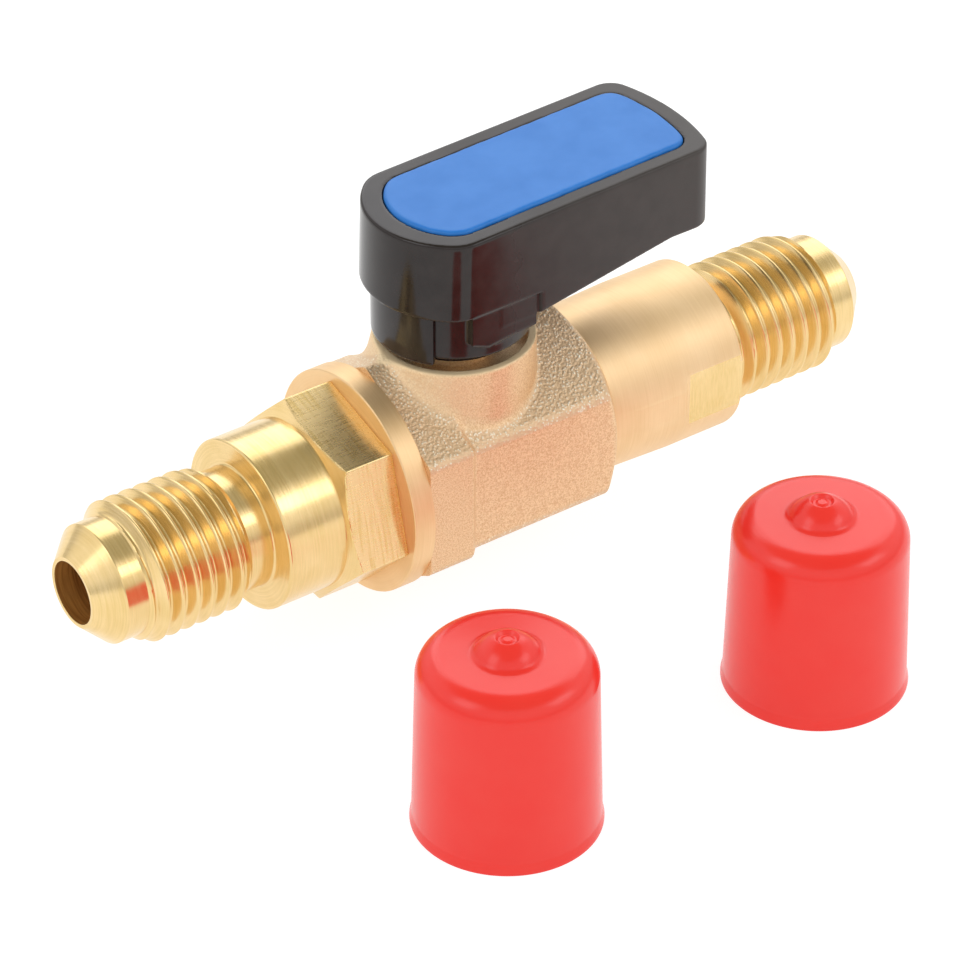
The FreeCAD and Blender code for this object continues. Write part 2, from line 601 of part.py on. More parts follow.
def make_dust_cap(x):
    """Dipped vinyl cap, mouth down: flared lip, rounded crown and a dimpled nub."""
    foot_r = CAP_FOOT_DIA / 2
    top_r = CAP_TOP_DIA / 2
    lip_r = CAP_LIP_DIA / 2
    inner_r = CAP_INSIDE_DIA / 2
    crown_z = FLOOR_Z + CAP_HEIGHT
    round_z = crown_z - CAP_ROUND
    flat_r = top_r - CAP_ROUND
    bend = CAP_ROUND * math.sqrt(0.5)
    outline = [Part.makeLine(Vector(x, 0, FLOOR_Z), Vector(x + lip_r, 0, FLOOR_Z)),
               Part.makeLine(Vector(x + lip_r, 0, FLOOR_Z), Vector(x + foot_r, 0, FLOOR_Z + CAP_LIP_HEIGHT)),
               Part.makeLine(Vector(x + foot_r, 0, FLOOR_Z + CAP_LIP_HEIGHT), Vector(x + top_r, 0, round_z)),
               arc_between(Vector(x + top_r, 0, round_z), Vector(x + flat_r + bend, 0, round_z + bend),
                           Vector(x + flat_r, 0, crown_z)),
               Part.makeLine(Vector(x + flat_r, 0, crown_z), Vector(x, 0, crown_z)),
               Part.makeLine(Vector(x, 0, crown_z), Vector(x, 0, FLOOR_Z))]
    cap = Part.Face(Part.Wire(outline)).revolve(Vector(x, 0, 0), Z_AXIS, 360)

    nub_r = CAP_NUB_DIA / 2
    dome_r = (nub_r ** 2 + CAP_NUB_HEIGHT ** 2) / (2 * CAP_NUB_HEIGHT)
    dome = Part.makeSphere(dome_r, Vector(x, 0, crown_z + CAP_NUB_HEIGHT - dome_r))
    nub = dome.common(rod_z(nub_r, crown_z - CAP_ROOF / 2, crown_z + CAP_NUB_HEIGHT + PAST, x))
    dimple_r = CAP_NUB_DIMPLE_DIA / 2
    nub_top = crown_z + CAP_NUB_HEIGHT
    dimple = rod_z(dimple_r, nub_top - CAP_NUB_DIMPLE_DEPTH, nub_top + PAST, x)
    inside = rod_z(inner_r, FLOOR_Z - PAST, crown_z - CAP_ROOF, x)
    cap = cap.fuse(nub).cut([inside, dimple]).removeSplitter()
    cap.translate(Vector(0, CAP_ROW_Y, 0))
    return cap


def build():
    parts = {
        "valve_body": make_valve_body(),
        "end_adapter": make_end_adapter(),
        "body_seal": make_body_seal(),
        "ball": make_ball(),
        "near_seat": make_seat(-1),
        "far_seat": make_seat(1),
        "stem": make_stem(),
        "thrust_washer": make_thrust_washer(),
        "lower_stem_ring": make_stem_ring(STEM_RING_LOW),
        "upper_stem_ring": make_stem_ring(STEM_RING_HIGH),
        "stop_pin": make_stop_pin(),
        "lever": make_lever(),
        "lever_insert": make_lever_insert(),
        "screw_washer": make_screw_washer(),
        "lever_screw": make_lever_screw(),
    }
    for name, x in CAP_PLACES.items():
        parts[name] = make_dust_cap(x)
    return parts


def main():
    os.makedirs("parts", exist_ok=True)
    for name, shape in build().items():
        solids = len(shape.Solids)
        print(f"{name}: {solids} solid, valid {shape.isValid()}, {shape.Volume:.1f} mm3")
        shape.exportStep(os.path.join("parts", name + ".step"))


main()
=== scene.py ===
import math

import bmesh
import bpy
import numpy as np
from mathutils import Matrix, Vector


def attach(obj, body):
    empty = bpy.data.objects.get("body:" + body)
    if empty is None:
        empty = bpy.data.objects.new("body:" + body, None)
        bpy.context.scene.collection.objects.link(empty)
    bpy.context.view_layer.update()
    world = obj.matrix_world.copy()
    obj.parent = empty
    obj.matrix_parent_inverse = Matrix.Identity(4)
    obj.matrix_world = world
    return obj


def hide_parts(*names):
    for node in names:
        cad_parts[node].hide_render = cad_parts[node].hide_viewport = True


# Looks of a straight flare ball valve with a moulded lever and two dust caps.
# Sizes are millimetres until a mesh is made, X runs along the flow and Z along the stem.
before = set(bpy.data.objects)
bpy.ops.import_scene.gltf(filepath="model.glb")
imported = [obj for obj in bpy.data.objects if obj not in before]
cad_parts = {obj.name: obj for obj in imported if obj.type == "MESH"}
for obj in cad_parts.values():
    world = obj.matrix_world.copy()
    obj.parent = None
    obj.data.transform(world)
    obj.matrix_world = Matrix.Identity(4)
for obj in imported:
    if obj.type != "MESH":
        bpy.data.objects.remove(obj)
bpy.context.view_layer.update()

MM = 0.001
SHARP_ANGLE = math.radians(32.0)

# Camera, at the photograph's angle and framing
CAMERA_AZIMUTH = -36.169
CAMERA_ELEVATION = 34.444
CAMERA_DISTANCE = 359.7
CAMERA_RIGHT = 1.908
CAMERA_DOWN = 3.177
CAMERA_LENS = 180.55
CAMERA_SENSOR = 36.0

# Steps round the turned pieces
ROUND_STEPS = 180
COLLAR_STEPS = 240
CAP_STEPS = 160

# Flare ends
BORE_R = 2.4
LIP_R = 2.725
MOUTH_R = 2.43
MOUTH_DEPTH = 6.0
MOUTH_EDGE = 0.03
LIP_EDGE = 0.04
NOSE_EDGE = 0.12
NOSE_R = 4.575
LAND = 1.75
LEAD_IN = 0.7
THREAD_R = 5.5
RELIEF_R = 4.65
RELIEF_EDGE = 0.2
THREAD_PITCH = 1.27
THREAD_ROOT_R = 4.72
THREAD_CREST = 0.16
THREAD_CREST_BLEND = 0.08
THREAD_ROOT_BLEND = 0.12
THREAD_ROWS = (0.05, 0.08, 0.11, 0.17, 0.25, 0.33, 0.41, 0.48, 0.53, 0.58)
FLANK_SLOPE = math.sqrt(3)
RUN_OUT = THREAD_R - RELIEF_R
NEAR_FACE_X = -33.65
NEAR_CREST_X = -29.595
NEAR_RELIEF = 2.0
FAR_FACE_X = 36.78
FAR_CREST_X = 23.805
FAR_RELIEF = 1.1

# Screwed end adapter
SHOULDER_X = -19.3
SHOULDER_R = 6.62
SHOULDER_EDGE = 0.18
HEX_X = -14.35
HEX_APOTHEM = 7.0
HEX_CORNER = 0.12
HEX_LEAD = 0.58
HEX_TURN = -14.0
HEX_ROW = 0.03
HEX_BLEND = 0.04
HEX_BACK_EDGE = 0.05
CORNER_TURNS = (-1.4, -0.9, -0.45, 0, 0.45, 0.9, 1.4)
SPIGOT_R = 6.45
SPIGOT_X = -5.25
SEAL_SETBACK = 0.45
SEAL_ROOM = 1.1
SEAL_DEPTH = 0.9

# Body
COLLAR_X = -9.75
COLLAR_R = 8.72
COLLAR_WIDTH = 1.8
COLLAR_EDGE = 0.13
COLLAR_BACK_EDGE = 0.08
SOCKET_R = 6.5
SEAT_BACK = 5.2
END_APOTHEM = 8.1
END_CORNER = 0.8
END_X = -4.1
END_BLEND = 0.12
BODY_APOTHEM = 7.6
BODY_CORNER = 1.0
BODY_END = 9.5
BODY_SLOPE = math.radians(57.0)
BODY_BLEND = 0.2
BLOCKS_BLEND = 0.08
BARREL_START = 9.9
BARREL_R = 6.73
BARREL_END = 22.43
BARREL_EDGE = 0.2
BARREL_LAP = 0.08
BARREL_OVERLAP = 0.4
BARREL_FOOT_X = 10.14
BARREL_FOOT_RISE = 0.34
BARREL_FOOT_ROUND = 0.55
FLAT_Y = 6.35
FLAT_LENGTH = 5.8
FLAT_BLEND = 0.03
CUTTER_R = 0.8
CHAMBER_R = 5.3
CHAMBER_END = 5.25
POCKET_R = 2.85
POCKET_ROOF = 6.2
STEM_BORE_R = 2.05

# Neck round the stem
NECK_TOP = 9.5
NECK_R = 6.1
NECK_EDGE = 0.15
NECK_RIM_ROUND = 0.14
NECK_FOOT = 3.0
NECK_FOOT_R = 6.8
NECK_FOOT_SHIFT = -1.0
NECK_FILLET = 0.35
FILLET_GROWTH = 0.75
WELL_R = 5.45
WELL_FLOOR = 8.2
WELL_ROUND = 0.12
BOSS_R = 2.9
BOSS_TOP = 10.4
BOSS_BLEND = 0.1
PIN_R = 0.45
PIN_RADIUS = 3.55
PIN_ANGLE = math.radians(100.0)
PIN_FOOT = 7.0

# Edges, blends and gaps of the mouldings
MOULD_EDGE = 0.18
MOULD_BLEND = 0.2
MOULD_GAP = 0.1
PAD_BLEND = 0.15
POCKET_EDGE = 0.14
PEG_GAP = 0.05

# Lever
LEVER_TOP = 21.03
TOP_SLOPE = math.radians(1.64)
LEVER_EDGE = 0.25
LEVER_LOW = 11.95
HUB_DRAFT = 0.25
SIDE_DRAFT = 0.05
HUB_REACH = 6.67
TIP_REACH = 20.0
LEVER_ENDS = ((HUB_REACH, 7.25, 2.7), (TIP_REACH, 17.5, 1.85))
LEVER_HALF = 6.16
HUB_WALL_Z = 14.6
ARM_START = 3.4
ARM_LOW = 12.95
ARM_HIGH = 14.95
ARM_LEVEL = 15.4
ARM_SLOPE = (ARM_HIGH - ARM_LOW) / (ARM_LEVEL - ARM_START)
LEVER_WALL = 1.6
LEVER_ROOF = 3.4
RIB = 1.4
RIB_RISE = 0.5
CROSS_RIB = 12.0
HUB_R = 4.6
HUB_FOOT = 9.7
SKIRT_R = 6.15
SKIRT_WALL = 1.2
SKIRT_FOOT = 10.2
SKIRT_MIDDLE = math.radians(155.0)
SKIRT_HALF = math.radians(65.0)
PAD_START = -2.6
PAD_END = 3.1
PAD_FOOT = 12.05
PAD_DIP = 0.6
PAD_DIP_PLACES = (PAD_START, PAD_START + 1.5, 0.8, PAD_END)
PAD_DIPS = (0, PAD_DIP, 0.6 * PAD_DIP, 0.3 * PAD_DIP)
PAD_Y = 5.95
ROOT_Y = 5.88
HUB_BAND_R = 5.75
HUB_BAND_FOOT = 10.6
HUB_BAND_HALF = math.radians(50.0)
SEAT_Z = 16.6
SCREW_WELL_R = 3.2
SLOT_TOP = 11.3
SLOT_HALF = 0.55
SLOT_MIDDLE = PIN_ANGLE + math.pi / 4
SLOT_PLAY = math.radians(8.3)
STEM_FLAT = 1.55
STEM_FLAT_Z = 10.65
JOIN = 0.5

# Coloured insert, measured down from the lever's top
INSERT_DEPTH = 1.8
INSERT_ENDS = ((4.95, 6.0, 2.6), (18.58, 15.0, 1.5))
INSERT_HALF = 4.76
INSERT_PROUD = 0.19
INSERT_EDGE = 0.3
INSERT_GAP = 0.06
PEG_R = 0.8
PEG_LENGTH = 1.0
PEG_PLACES = (7.5, 16.0)

# Dust caps
FLOOR_Z = -9.229
CAP_HEIGHT = 14.14
CAP_FOOT_R = 6.7
CAP_TOP_R = 6.4
CAP_LIP_R = 6.84
CAP_LIP_HEIGHT = 0.9
CAP_LIP_EDGE = 0.1
CAP_SOFT_EDGE = 0.8
CAP_INSIDE_R = 5.6
CAP_ROOF = 1.3
CAP_ROUND = 1.88
NUB_R = 2.42
NUB_HEIGHT = 1.46
NUB_FOOT = 0.7
DIMPLE_R = 0.85
DIMPLE_RIM = 0.1
DIMPLE_DEPTH = 0.2
BUTTON_R = 0.3
BUTTON_RISE = 0.1
CAP_ROW_Y = -29.4
CAP_PLACES = {"left": -16.8, "right": 11.0}

# Grid steps of the casting and the mouldings, and the boxes that hold them
CASTING_STEP = 0.163
CASTING_BOX = ((COLLAR_X + COLLAR_WIDTH - 0.4, -9.0, -9.6),
               (BARREL_START + 0.5, 9.0, BOSS_TOP + 0.4))
LEVER_STEP = 0.146
LEVER_BOX = ((-HUB_REACH - 0.7, -LEVER_HALF - 0.7, HUB_FOOT - 0.4),
             (TIP_REACH + 0.7, LEVER_HALF + 0.7, LEVER_TOP + 1.2))
INSERT_STEP = 0.13
INSERT_BOX = ((-HUB_REACH, -LEVER_HALF, LEVER_TOP - INSERT_DEPTH - PEG_LENGTH - 0.4),
              (TIP_REACH, LEVER_HALF, LEVER_TOP + 1.2))

# Studio, with the grey level of its walls by elevation in degrees
WALL_FOOT = 0.6
WALL_LEVELS = ((7, 0.6), (17, 0.95), (28, 1.05), (49, 0.95))
CEILING_EDGE = 55
CEILING = (0.38, 0.38, 0.31, 1)
LAMP_TINT = (0.94, 0.96, 1.0)
LAMP_DISTANCE = 0.6
FLOOR_HALF = 3.0
FLOOR_GREY = 0.92
FLOOR_SHADE = 0.3
FLOOR_GLOW = 0.86


def mesh_object(name, points, faces, *materials):
    """Smooth shaded object from millimetre points and rows of four corner numbers."""
    mesh = bpy.data.meshes.new(name)
    mesh.from_pydata((points * MM).tolist(), [], faces.tolist())
    work = bmesh.new()
    work.from_mesh(mesh)
    bmesh.ops.remove_doubles(work, verts=work.verts, dist=0.0003 * MM)
    bmesh.ops.recalc_face_normals(work, faces=work.faces)
    work.to_mesh(mesh)
    work.free()
    mesh.polygons.foreach_set("use_smooth", np.ones(len(mesh.polygons), dtype=bool))
    mesh.set_sharp_from_angle(angle=SHARP_ANGLE)
    for material in materials:
        mesh.materials.append(material)
    piece = bpy.data.objects.new(name, mesh)
    bpy.context.scene.collection.objects.link(piece)
    return piece


def joined(first, second):
    """Points and faces of two shells in one list."""
    points = np.concatenate([first[0], second[0]])
    return points, np.concatenate([first[1], second[1] + len(first[0])])


def vertex_places(mesh):
    """Vertex positions of a finished mesh, in millimetres."""
    places = np.zeros(len(mesh.vertices) * 3, dtype=np.float32)
    mesh.vertices.foreach_get("co", places)
    return places.reshape(-1, 3) / MM


def grid_faces(rows, columns):
    row, column = np.meshgrid(np.arange(rows - 1), np.arange(columns - 1), indexing="ij")
    first = (row * columns + column).ravel()
    return np.stack([first, first + 1, first + columns + 1, first + columns], axis=1)


def rounded(corners, steps=4):
    """Profile points where each corner given a rounding becomes an arc."""
    points = []
    for k, (x, r, rounding) in enumerate(corners):
        here = Vector((x, r))
        if not rounding:
            points.append(tuple(here))
            continue
        before = (Vector(corners[k - 1][:2]) - here).normalized()
        after = (Vector(corners[(k + 1) % len(corners)][:2]) - here).normalized()
        half = before.angle(after) / 2
        reach = rounding / math.tan(half)
        centre = here + (before + after).normalized() * rounding / math.sin(half)
        for step in range(steps + 1):
            chord = (here + before * reach).lerp(here + after * reach, step / steps)
            points.append(tuple(centre + (chord - centre).normalized() * rounding))
    return points


def all_round(values, angles):
    """Rows that have the same value at every angle."""
    return np.repeat(values[:, None], len(angles), 1)


def round_rows(points, angles, hold=0.04):
    """Rows of x and radius that are the same all the way round. Long stretches get a row near
    each end, so that the shading of a rounded edge stays at that edge."""
    rows = [Vector(points[0])]
    for point in points[1:]:
        start, end = rows[-1], Vector(point)
        if (end - start).length > 8 * hold:
            step = (end - start).normalized() * hold
            rows += [start + step, end - step]
        rows.append(end)
    x, r = np.array([tuple(row) for row in rows]).T
    return all_round(x, angles), all_round(r, angles)


def turned(rows, angles):
    """Closed shell about X from groups of rows, whose last row joins the first."""
    x, r = (np.concatenate([group[k] for group in rows] + [rows[0][k][:1]]) for k in (0, 1))
    points = np.stack([x, r * np.cos(angles), r * np.sin(angles)], axis=2).reshape(-1, 3)
    return points, grid_faces(len(x), len(angles))


def turned_upright(profile, columns, centre):
    """Closed shell about an upright line, from points of radius and height."""
    angles = np.linspace(0, 2 * math.pi, columns + 1)
    r, z = np.array(profile + profile[:1], dtype=float).T
    x = centre[0] + r[:, None] * np.cos(angles)
    y = centre[1] + r[:, None] * np.sin(angles)
    points = np.stack([x, y, all_round(z, angles)], axis=2).reshape(-1, 3)
    return points, grid_faces(len(r), len(angles))


def smooth_min(a, b, size):
    """Smaller of two values, blended where they are nearly the same."""
    share = np.maximum(size - np.abs(a - b), 0) / size
    return np.minimum(a, b) - share * share * size / 4


def smooth_max(a, b, size):
    return -smooth_min(-a, -b, size)


def even_angles(columns, extra=()):
    """Angles from nought to a full turn, both ends in, with extra ones where an edge needs them."""
    angles = list(np.linspace(0, 2 * math.pi, columns + 1)) + [a % (2 * math.pi) for a in extra]
    return np.unique(np.round(angles, 7))


def thread_rows(angles, low_x, high_x, low_r, high_r, low_cone, high_cone, crest_x):
    """Rows that follow a right hand thread, cut to a cone at each end."""
    offsets = np.array(sorted([-row for row in THREAD_ROWS] + [0.0, *THREAD_ROWS, THREAD_PITCH / 2]))
    turns = math.ceil((high_x - low_x) / THREAD_PITCH) + 3
    first = low_x - 2 * THREAD_PITCH
    first = crest_x + THREAD_PITCH * math.floor((first - crest_x) / THREAD_PITCH)
    starts = first + THREAD_PITCH * np.arange(turns)
    along = (starts[:, None] + offsets).ravel()
    along = np.append(along, along[-1] + THREAD_PITCH)
    lead = THREAD_PITCH * angles / (2 * math.pi)
    x = along[:, None] + lead
    phase = x - crest_x - lead
    phase = np.abs((phase + THREAD_PITCH / 2) % THREAD_PITCH - THREAD_PITCH / 2)
    flank = THREAD_R - (phase - THREAD_CREST / 2) * FLANK_SLOPE
    thread = smooth_max(smooth_min(flank, THREAD_R, THREAD_CREST_BLEND), THREAD_ROOT_R, THREAD_ROOT_BLEND)
    x = np.clip(x, low_x, high_x)
    low_limit = low_r + (x - low_x) * (THREAD_R - low_r) / low_cone
    high_limit = high_r + (high_x - x) * (THREAD_R - high_r) / high_cone
    return x, np.minimum(np.minimum(thread, low_limit), high_limit)


def hexagon_radius(angles, apothem, corner, first_corner):
    """Radius of a hexagon with rounded corners at each angle."""
    sector = math.pi / 3
    off_corner = np.abs((angles - first_corner + sector / 2) % sector - sector / 2)
    flat = apothem / np.cos(sector / 2 - off_corner)
    centre = (apothem - corner) / math.cos(sector / 2)
    inside = np.maximum(corner ** 2 - (centre * np.sin(off_corner)) ** 2, 0)
    arc = centre * np.cos(off_corner) + np.sqrt(inside)
    touch = math.atan2(corner * math.sin(sector / 2), centre + corner * math.cos(sector / 2))
    return np.where(off_corner < touch, arc, flat)


def adapter_shell():
    """Near flare, shoulder, wrench hexagon and spigot, with a cut thread."""
    first_corner = math.radians(90 + HEX_TURN)
    corners = [first_corner + k * math.pi / 3 for k in range(6)]
    angles = even_angles(ROUND_STEPS, [c + math.radians(d) for c in corners for d in CORNER_TURNS])
    cone_x = NEAR_FACE_X + NOSE_R - LIP_R
    land_x = cone_x + LAND
    relief_x = SHOULDER_X - NEAR_RELIEF
    nose = rounded([(SPIGOT_X, BORE_R, 0), (NEAR_FACE_X + MOUTH_DEPTH, BORE_R, 0),
                    (NEAR_FACE_X, MOUTH_R, MOUTH_EDGE), (NEAR_FACE_X, LIP_R, LIP_EDGE),
                    (cone_x, NOSE_R, NOSE_EDGE), (land_x, NOSE_R, 0)])
    thread = thread_rows(angles, land_x, relief_x, NOSE_R, RELIEF_R, LEAD_IN, RUN_OUT, NEAR_CREST_X)
    neck = rounded([(relief_x, RELIEF_R, 0), (SHOULDER_X, RELIEF_R, RELIEF_EDGE),
                    (SHOULDER_X, SHOULDER_R, SHOULDER_EDGE), (HEX_X, SHOULDER_R, 0)])
    spigot = round_rows(spigot_profile(), angles)
    hexagon = hexagon_rows(angles, first_corner)
    return turned([round_rows(nose, angles), thread, round_rows(neck, angles), *hexagon, spigot], angles)


def hexagon_rows(angles, first_corner):
    """Wrench hexagon with its front corners turned to a cone."""
    hexagon = hexagon_radius(angles, HEX_APOTHEM, HEX_CORNER, first_corner)
    cone_slope = (HEX_APOTHEM / math.cos(math.pi / 6) - SHOULDER_R) / HEX_LEAD
    length = COLLAR_X - HEX_X
    row_x = np.concatenate([np.arange(HEX_ROW, HEX_LEAD + 0.02, HEX_ROW),
                            [HEX_LEAD + 0.06, HEX_LEAD + 0.12, length - 0.16, length - 0.08]])
    radius = smooth_min(hexagon, SHOULDER_R + row_x[:, None] * cone_slope, HEX_BLEND)
    back = (np.full((1, len(angles)), COLLAR_X), hexagon[None, :] - HEX_BACK_EDGE)
    return (all_round(HEX_X + row_x, angles), radius), back


def spigot_profile():
    """Spigot behind the hexagon, with the seal's groove at its root."""
    groove_x = COLLAR_X + SEAL_SETBACK
    groove_r = SPIGOT_R - SEAL_DEPTH
    return [(COLLAR_X, SPIGOT_R), (groove_x, SPIGOT_R), (groove_x, groove_r),
            (groove_x + SEAL_ROOM, groove_r), (groove_x + SEAL_ROOM, SPIGOT_R), (SPIGOT_X, SPIGOT_R)]


def barrel_shell():
    """Turned barrel with two wrench flats, and the far flare."""
    flat_edge = math.acos(FLAT_Y / BARREL_R)
    turns = [math.radians(d) for d in np.arange(-23.5, 24, 0.5)] + [-flat_edge, flat_edge]
    angles = even_angles(ROUND_STEPS, [side + turn for side in (0, math.pi) for turn in turns])
    slope_r = BARREL_R + BARREL_FOOT_RISE
    start_x = BARREL_START - BARREL_OVERLAP
    start = rounded([(start_x, BORE_R, 0), (start_x, slope_r - 0.3, 0), (BARREL_START - 0.06, slope_r, 0),
                     (BARREL_FOOT_X, BARREL_R, BARREL_FOOT_ROUND)], 6)
    relief_x = BARREL_END + FAR_RELIEF
    land_x = FAR_FACE_X - (NOSE_R - LIP_R) - LAND
    foot = rounded([(BARREL_END, RELIEF_R + 0.6, 0), (BARREL_END, RELIEF_R, RELIEF_EDGE),
                    (relief_x, RELIEF_R, 0)])
    thread = thread_rows(angles, relief_x, land_x, RELIEF_R, NOSE_R, RUN_OUT, LEAD_IN, FAR_CREST_X)
    nose = rounded([(land_x, NOSE_R, 0), (land_x + LAND, NOSE_R, NOSE_EDGE), (FAR_FACE_X, LIP_R, MOUTH_EDGE),
                    (FAR_FACE_X, MOUTH_R, MOUTH_EDGE), (FAR_FACE_X - MOUTH_DEPTH, BORE_R, 0)])
    return turned([round_rows(start, angles), flatted_rows(angles), round_rows(foot, angles), thread,
                   round_rows(nose, angles)], angles)


def flatted_rows(angles):
    """Barrel's outside over the wrench flats, whose cutter left a curved run-in."""
    cutter_x = BARREL_END - FLAT_LENGTH + CUTTER_R
    run_in = cutter_x - CUTTER_R + np.arange(0.16, CUTTER_R + 0.02, 0.04)
    x = np.concatenate([run_in, [BARREL_END - BARREL_EDGE, BARREL_END]])
    r = np.concatenate([np.full(len(run_in) + 1, BARREL_R), [BARREL_R - BARREL_EDGE]])
    into_cut = np.minimum(x - cutter_x, 0)
    limit = FLAT_Y + CUTTER_R - np.sqrt(np.maximum(CUTTER_R ** 2 - into_cut ** 2, 0))
    across = np.maximum(np.abs(np.cos(angles)), 0.01)
    return all_round(x, angles), smooth_min(all_round(r, angles), limit[:, None] / across, FLAT_BLEND)


def collar_shell():
    """Turned collar that the adapter's hexagon bears on."""
    back = COLLAR_X + COLLAR_WIDTH
    profile = rounded([(COLLAR_X, SOCKET_R, 0), (COLLAR_X, COLLAR_R, COLLAR_EDGE),
                       (back, COLLAR_R, COLLAR_BACK_EDGE), (back, SOCKET_R, 0)])
    angles = even_angles(COLLAR_STEPS)
    return turned([round_rows(profile, angles)], angles)


def contour(distance, low, high, step):
    """Closed mesh of a signed distance function. Each cell that it crosses gets one point,
    set where the tangent planes in that cell meet, so edges stay crisp."""
    counts = [int(math.ceil((high[k] - low[k]) / step)) + 1 for k in range(3)]
    axes = [low[k] + step * np.arange(counts[k]) for k in range(3)]
    values = distance(*np.meshgrid(*axes, indexing="ij"))
    strides = np.array([counts[1] * counts[2], counts[2], 1])
    origin = np.array(low, dtype=float)
    cells, places, normals, flips = [], [], [], []
    for axis in range(3):
        lower = [slice(1, -1)] * 3
        upper = [slice(1, -1)] * 3
        upper[axis] = slice(2, None)
        a, b = values[tuple(lower)], values[tuple(upper)]
        index = np.argwhere((a < 0) != (b < 0)) + 1
        start = values[tuple(index.T)]
        end = values[tuple((index + np.eye(3, dtype=int)[axis]).T)]
        along = start / (start - end)
        base = origin + step * index
        way = step * np.eye(3)[axis]
        low_t, high_t = np.zeros(len(index)), np.ones(len(index))
        for _ in range(6):
            here = distance(*(base + along[:, None] * way).T)
            same = (here < 0) == (start < 0)
            low_t = np.where(same, along, low_t)
            high_t = np.where(same, high_t, along)
            along = (low_t + high_t) / 2
        place = base + along[:, None] * way
        first, second = np.delete(strides, axis)
        cells.append((index @ strides)[:, None] + [-first - second, -second, 0, -first])
        places.append(place)
        normals.append(gradient(distance, place))
        flips.append((start < 0) != (axis == 1))
    cells, places, normals, flips = map(np.concatenate, (cells, places, normals, flips))
    used, corner = np.unique(cells.ravel(), return_inverse=True)
    corner = corner.reshape(cells.shape)
    points = solve_cells(corner, places, normals, len(used))
    cell_low = origin + step * np.stack([used // strides[0], used % strides[0] // strides[1],
                                         used % strides[1]], axis=1)
    for _ in range(2):
        slope = gradient(distance, points, unit=False)
        steep = np.maximum((slope * slope).sum(axis=1), 0.25)
        points = points - slope * (distance(*points.T) / steep)[:, None]
    points = np.clip(points, cell_low, cell_low + step)
    corner[flips] = corner[flips][:, ::-1]
    return points, corner


def gradient(distance, places, reach=0.004, unit=True):
    """Slopes of a signed distance function at some places, which are its unit normals when scaled."""
    rises = [distance(*(places + offset).T) - distance(*(places - offset).T) for offset in reach * np.eye(3)]
    slopes = np.stack(rises, axis=1) / (2 * reach)
    if not unit:
        return slopes
    return slopes / np.maximum(np.linalg.norm(slopes, axis=1, keepdims=True), 1e-9)


def solve_cells(corner, places, normals, count, hold=0.02):
    """Point of each cell nearest to all the tangent planes that cross its edges."""
    flat = corner.ravel()
    owner = np.repeat(np.arange(len(places)), 4)
    number = np.bincount(flat, minlength=count).astype(float)
    middle = np.stack([np.bincount(flat, places[owner, k], count) for k in range(3)], axis=1)
    middle /= number[:, None]
    matrix = np.zeros((count, 3, 3))
    right = np.zeros((count, 3))
    offset = places[owner] - middle[flat]
    height = (normals[owner] * offset).sum(axis=1)
    for i in range(3):
        right[:, i] = np.bincount(flat, normals[owner, i] * height, count)
        for j in range(3):
            matrix[:, i, j] = np.bincount(flat, normals[owner, i] * normals[owner, j], count)
        matrix[:, i, i] += hold * number
    return middle + np.linalg.solve(matrix, right[:, :, None])[:, :, 0]


def hexagon_distance(y, z, apothem, corner):
    """Signed distance to a hexagon with flats facing the sides and rounded corners."""
    size = apothem - corner
    u, v = np.abs(z), np.abs(y)
    fold = np.minimum(0.5 * v - math.sqrt(0.75) * u, 0)
    u = u + 2 * fold * math.sqrt(0.75)
    v = v - fold
    half_side = size / math.sqrt(3)
    u = u - np.clip(u, -half_side, half_side)
    v = v - size
    return np.hypot(u, v) * np.sign(v) - corner


def rod_distance(radius_at, radius, position, start, end):
    """Signed distance to a rod, from the distance off its axis and the position along it."""
    return np.maximum(radius_at - radius, np.maximum(start - position, position - end))


def off_neck(x, y, z):
    """Distance off the neck's cast side, which leans out towards the adapter at its foot."""
    drop = (NECK_TOP - NECK_EDGE - z) / (NECK_TOP - NECK_EDGE - NECK_FOOT)
    return np.hypot(x - NECK_FOOT_SHIFT * drop, y) - NECK_R - (NECK_FOOT_R - NECK_R) * drop


def casting_blocks(x, y, z):
    """The two hexagonal blocks behind the collar, with a slope down from the first to the second."""
    off_flow = np.hypot(y, z)
    behind_collar = COLLAR_X + COLLAR_WIDTH - 0.03 - x
    end_side = hexagon_distance(y, z, END_APOTHEM, END_CORNER)
    end_block = smooth_max(end_side, (x - END_X + end_side) * math.sqrt(0.5), END_BLEND)
    end_block = np.maximum(end_block, behind_collar)
    slope = (x - BODY_END) * math.sin(BODY_SLOPE) + (off_flow - BODY_APOTHEM) * math.cos(BODY_SLOPE)
    body_block = smooth_max(hexagon_distance(y, z, BODY_APOTHEM, BODY_CORNER), slope, BODY_BLEND)
    body_block = np.maximum(body_block, behind_collar)
    return smooth_min(end_block, body_block, BLOCKS_BLEND)


def casting_hollows(x, y, z):
    """Socket, ball chamber, bore, stem passages and stop pin's hole."""
    off_flow = np.hypot(y, z)
    off_stem = np.hypot(x, y)
    off_pin = np.hypot(x - PIN_RADIUS * math.cos(PIN_ANGLE), y - PIN_RADIUS * math.sin(PIN_ANGLE))
    return (rod_distance(off_flow, SOCKET_R, x, COLLAR_X - 1, -SEAT_BACK),
            rod_distance(off_flow, CHAMBER_R, x, -SEAT_BACK - 1, CHAMBER_END),
            rod_distance(off_flow, BORE_R, x, 0, BARREL_END),
            rod_distance(off_stem, POCKET_R, z, 0, POCKET_ROOF),
            rod_distance(off_stem, STEM_BORE_R, z, 0, BOSS_TOP + 1),
            rod_distance(off_pin, PIN_R, z, PIN_FOOT, WELL_FLOOR + 1))


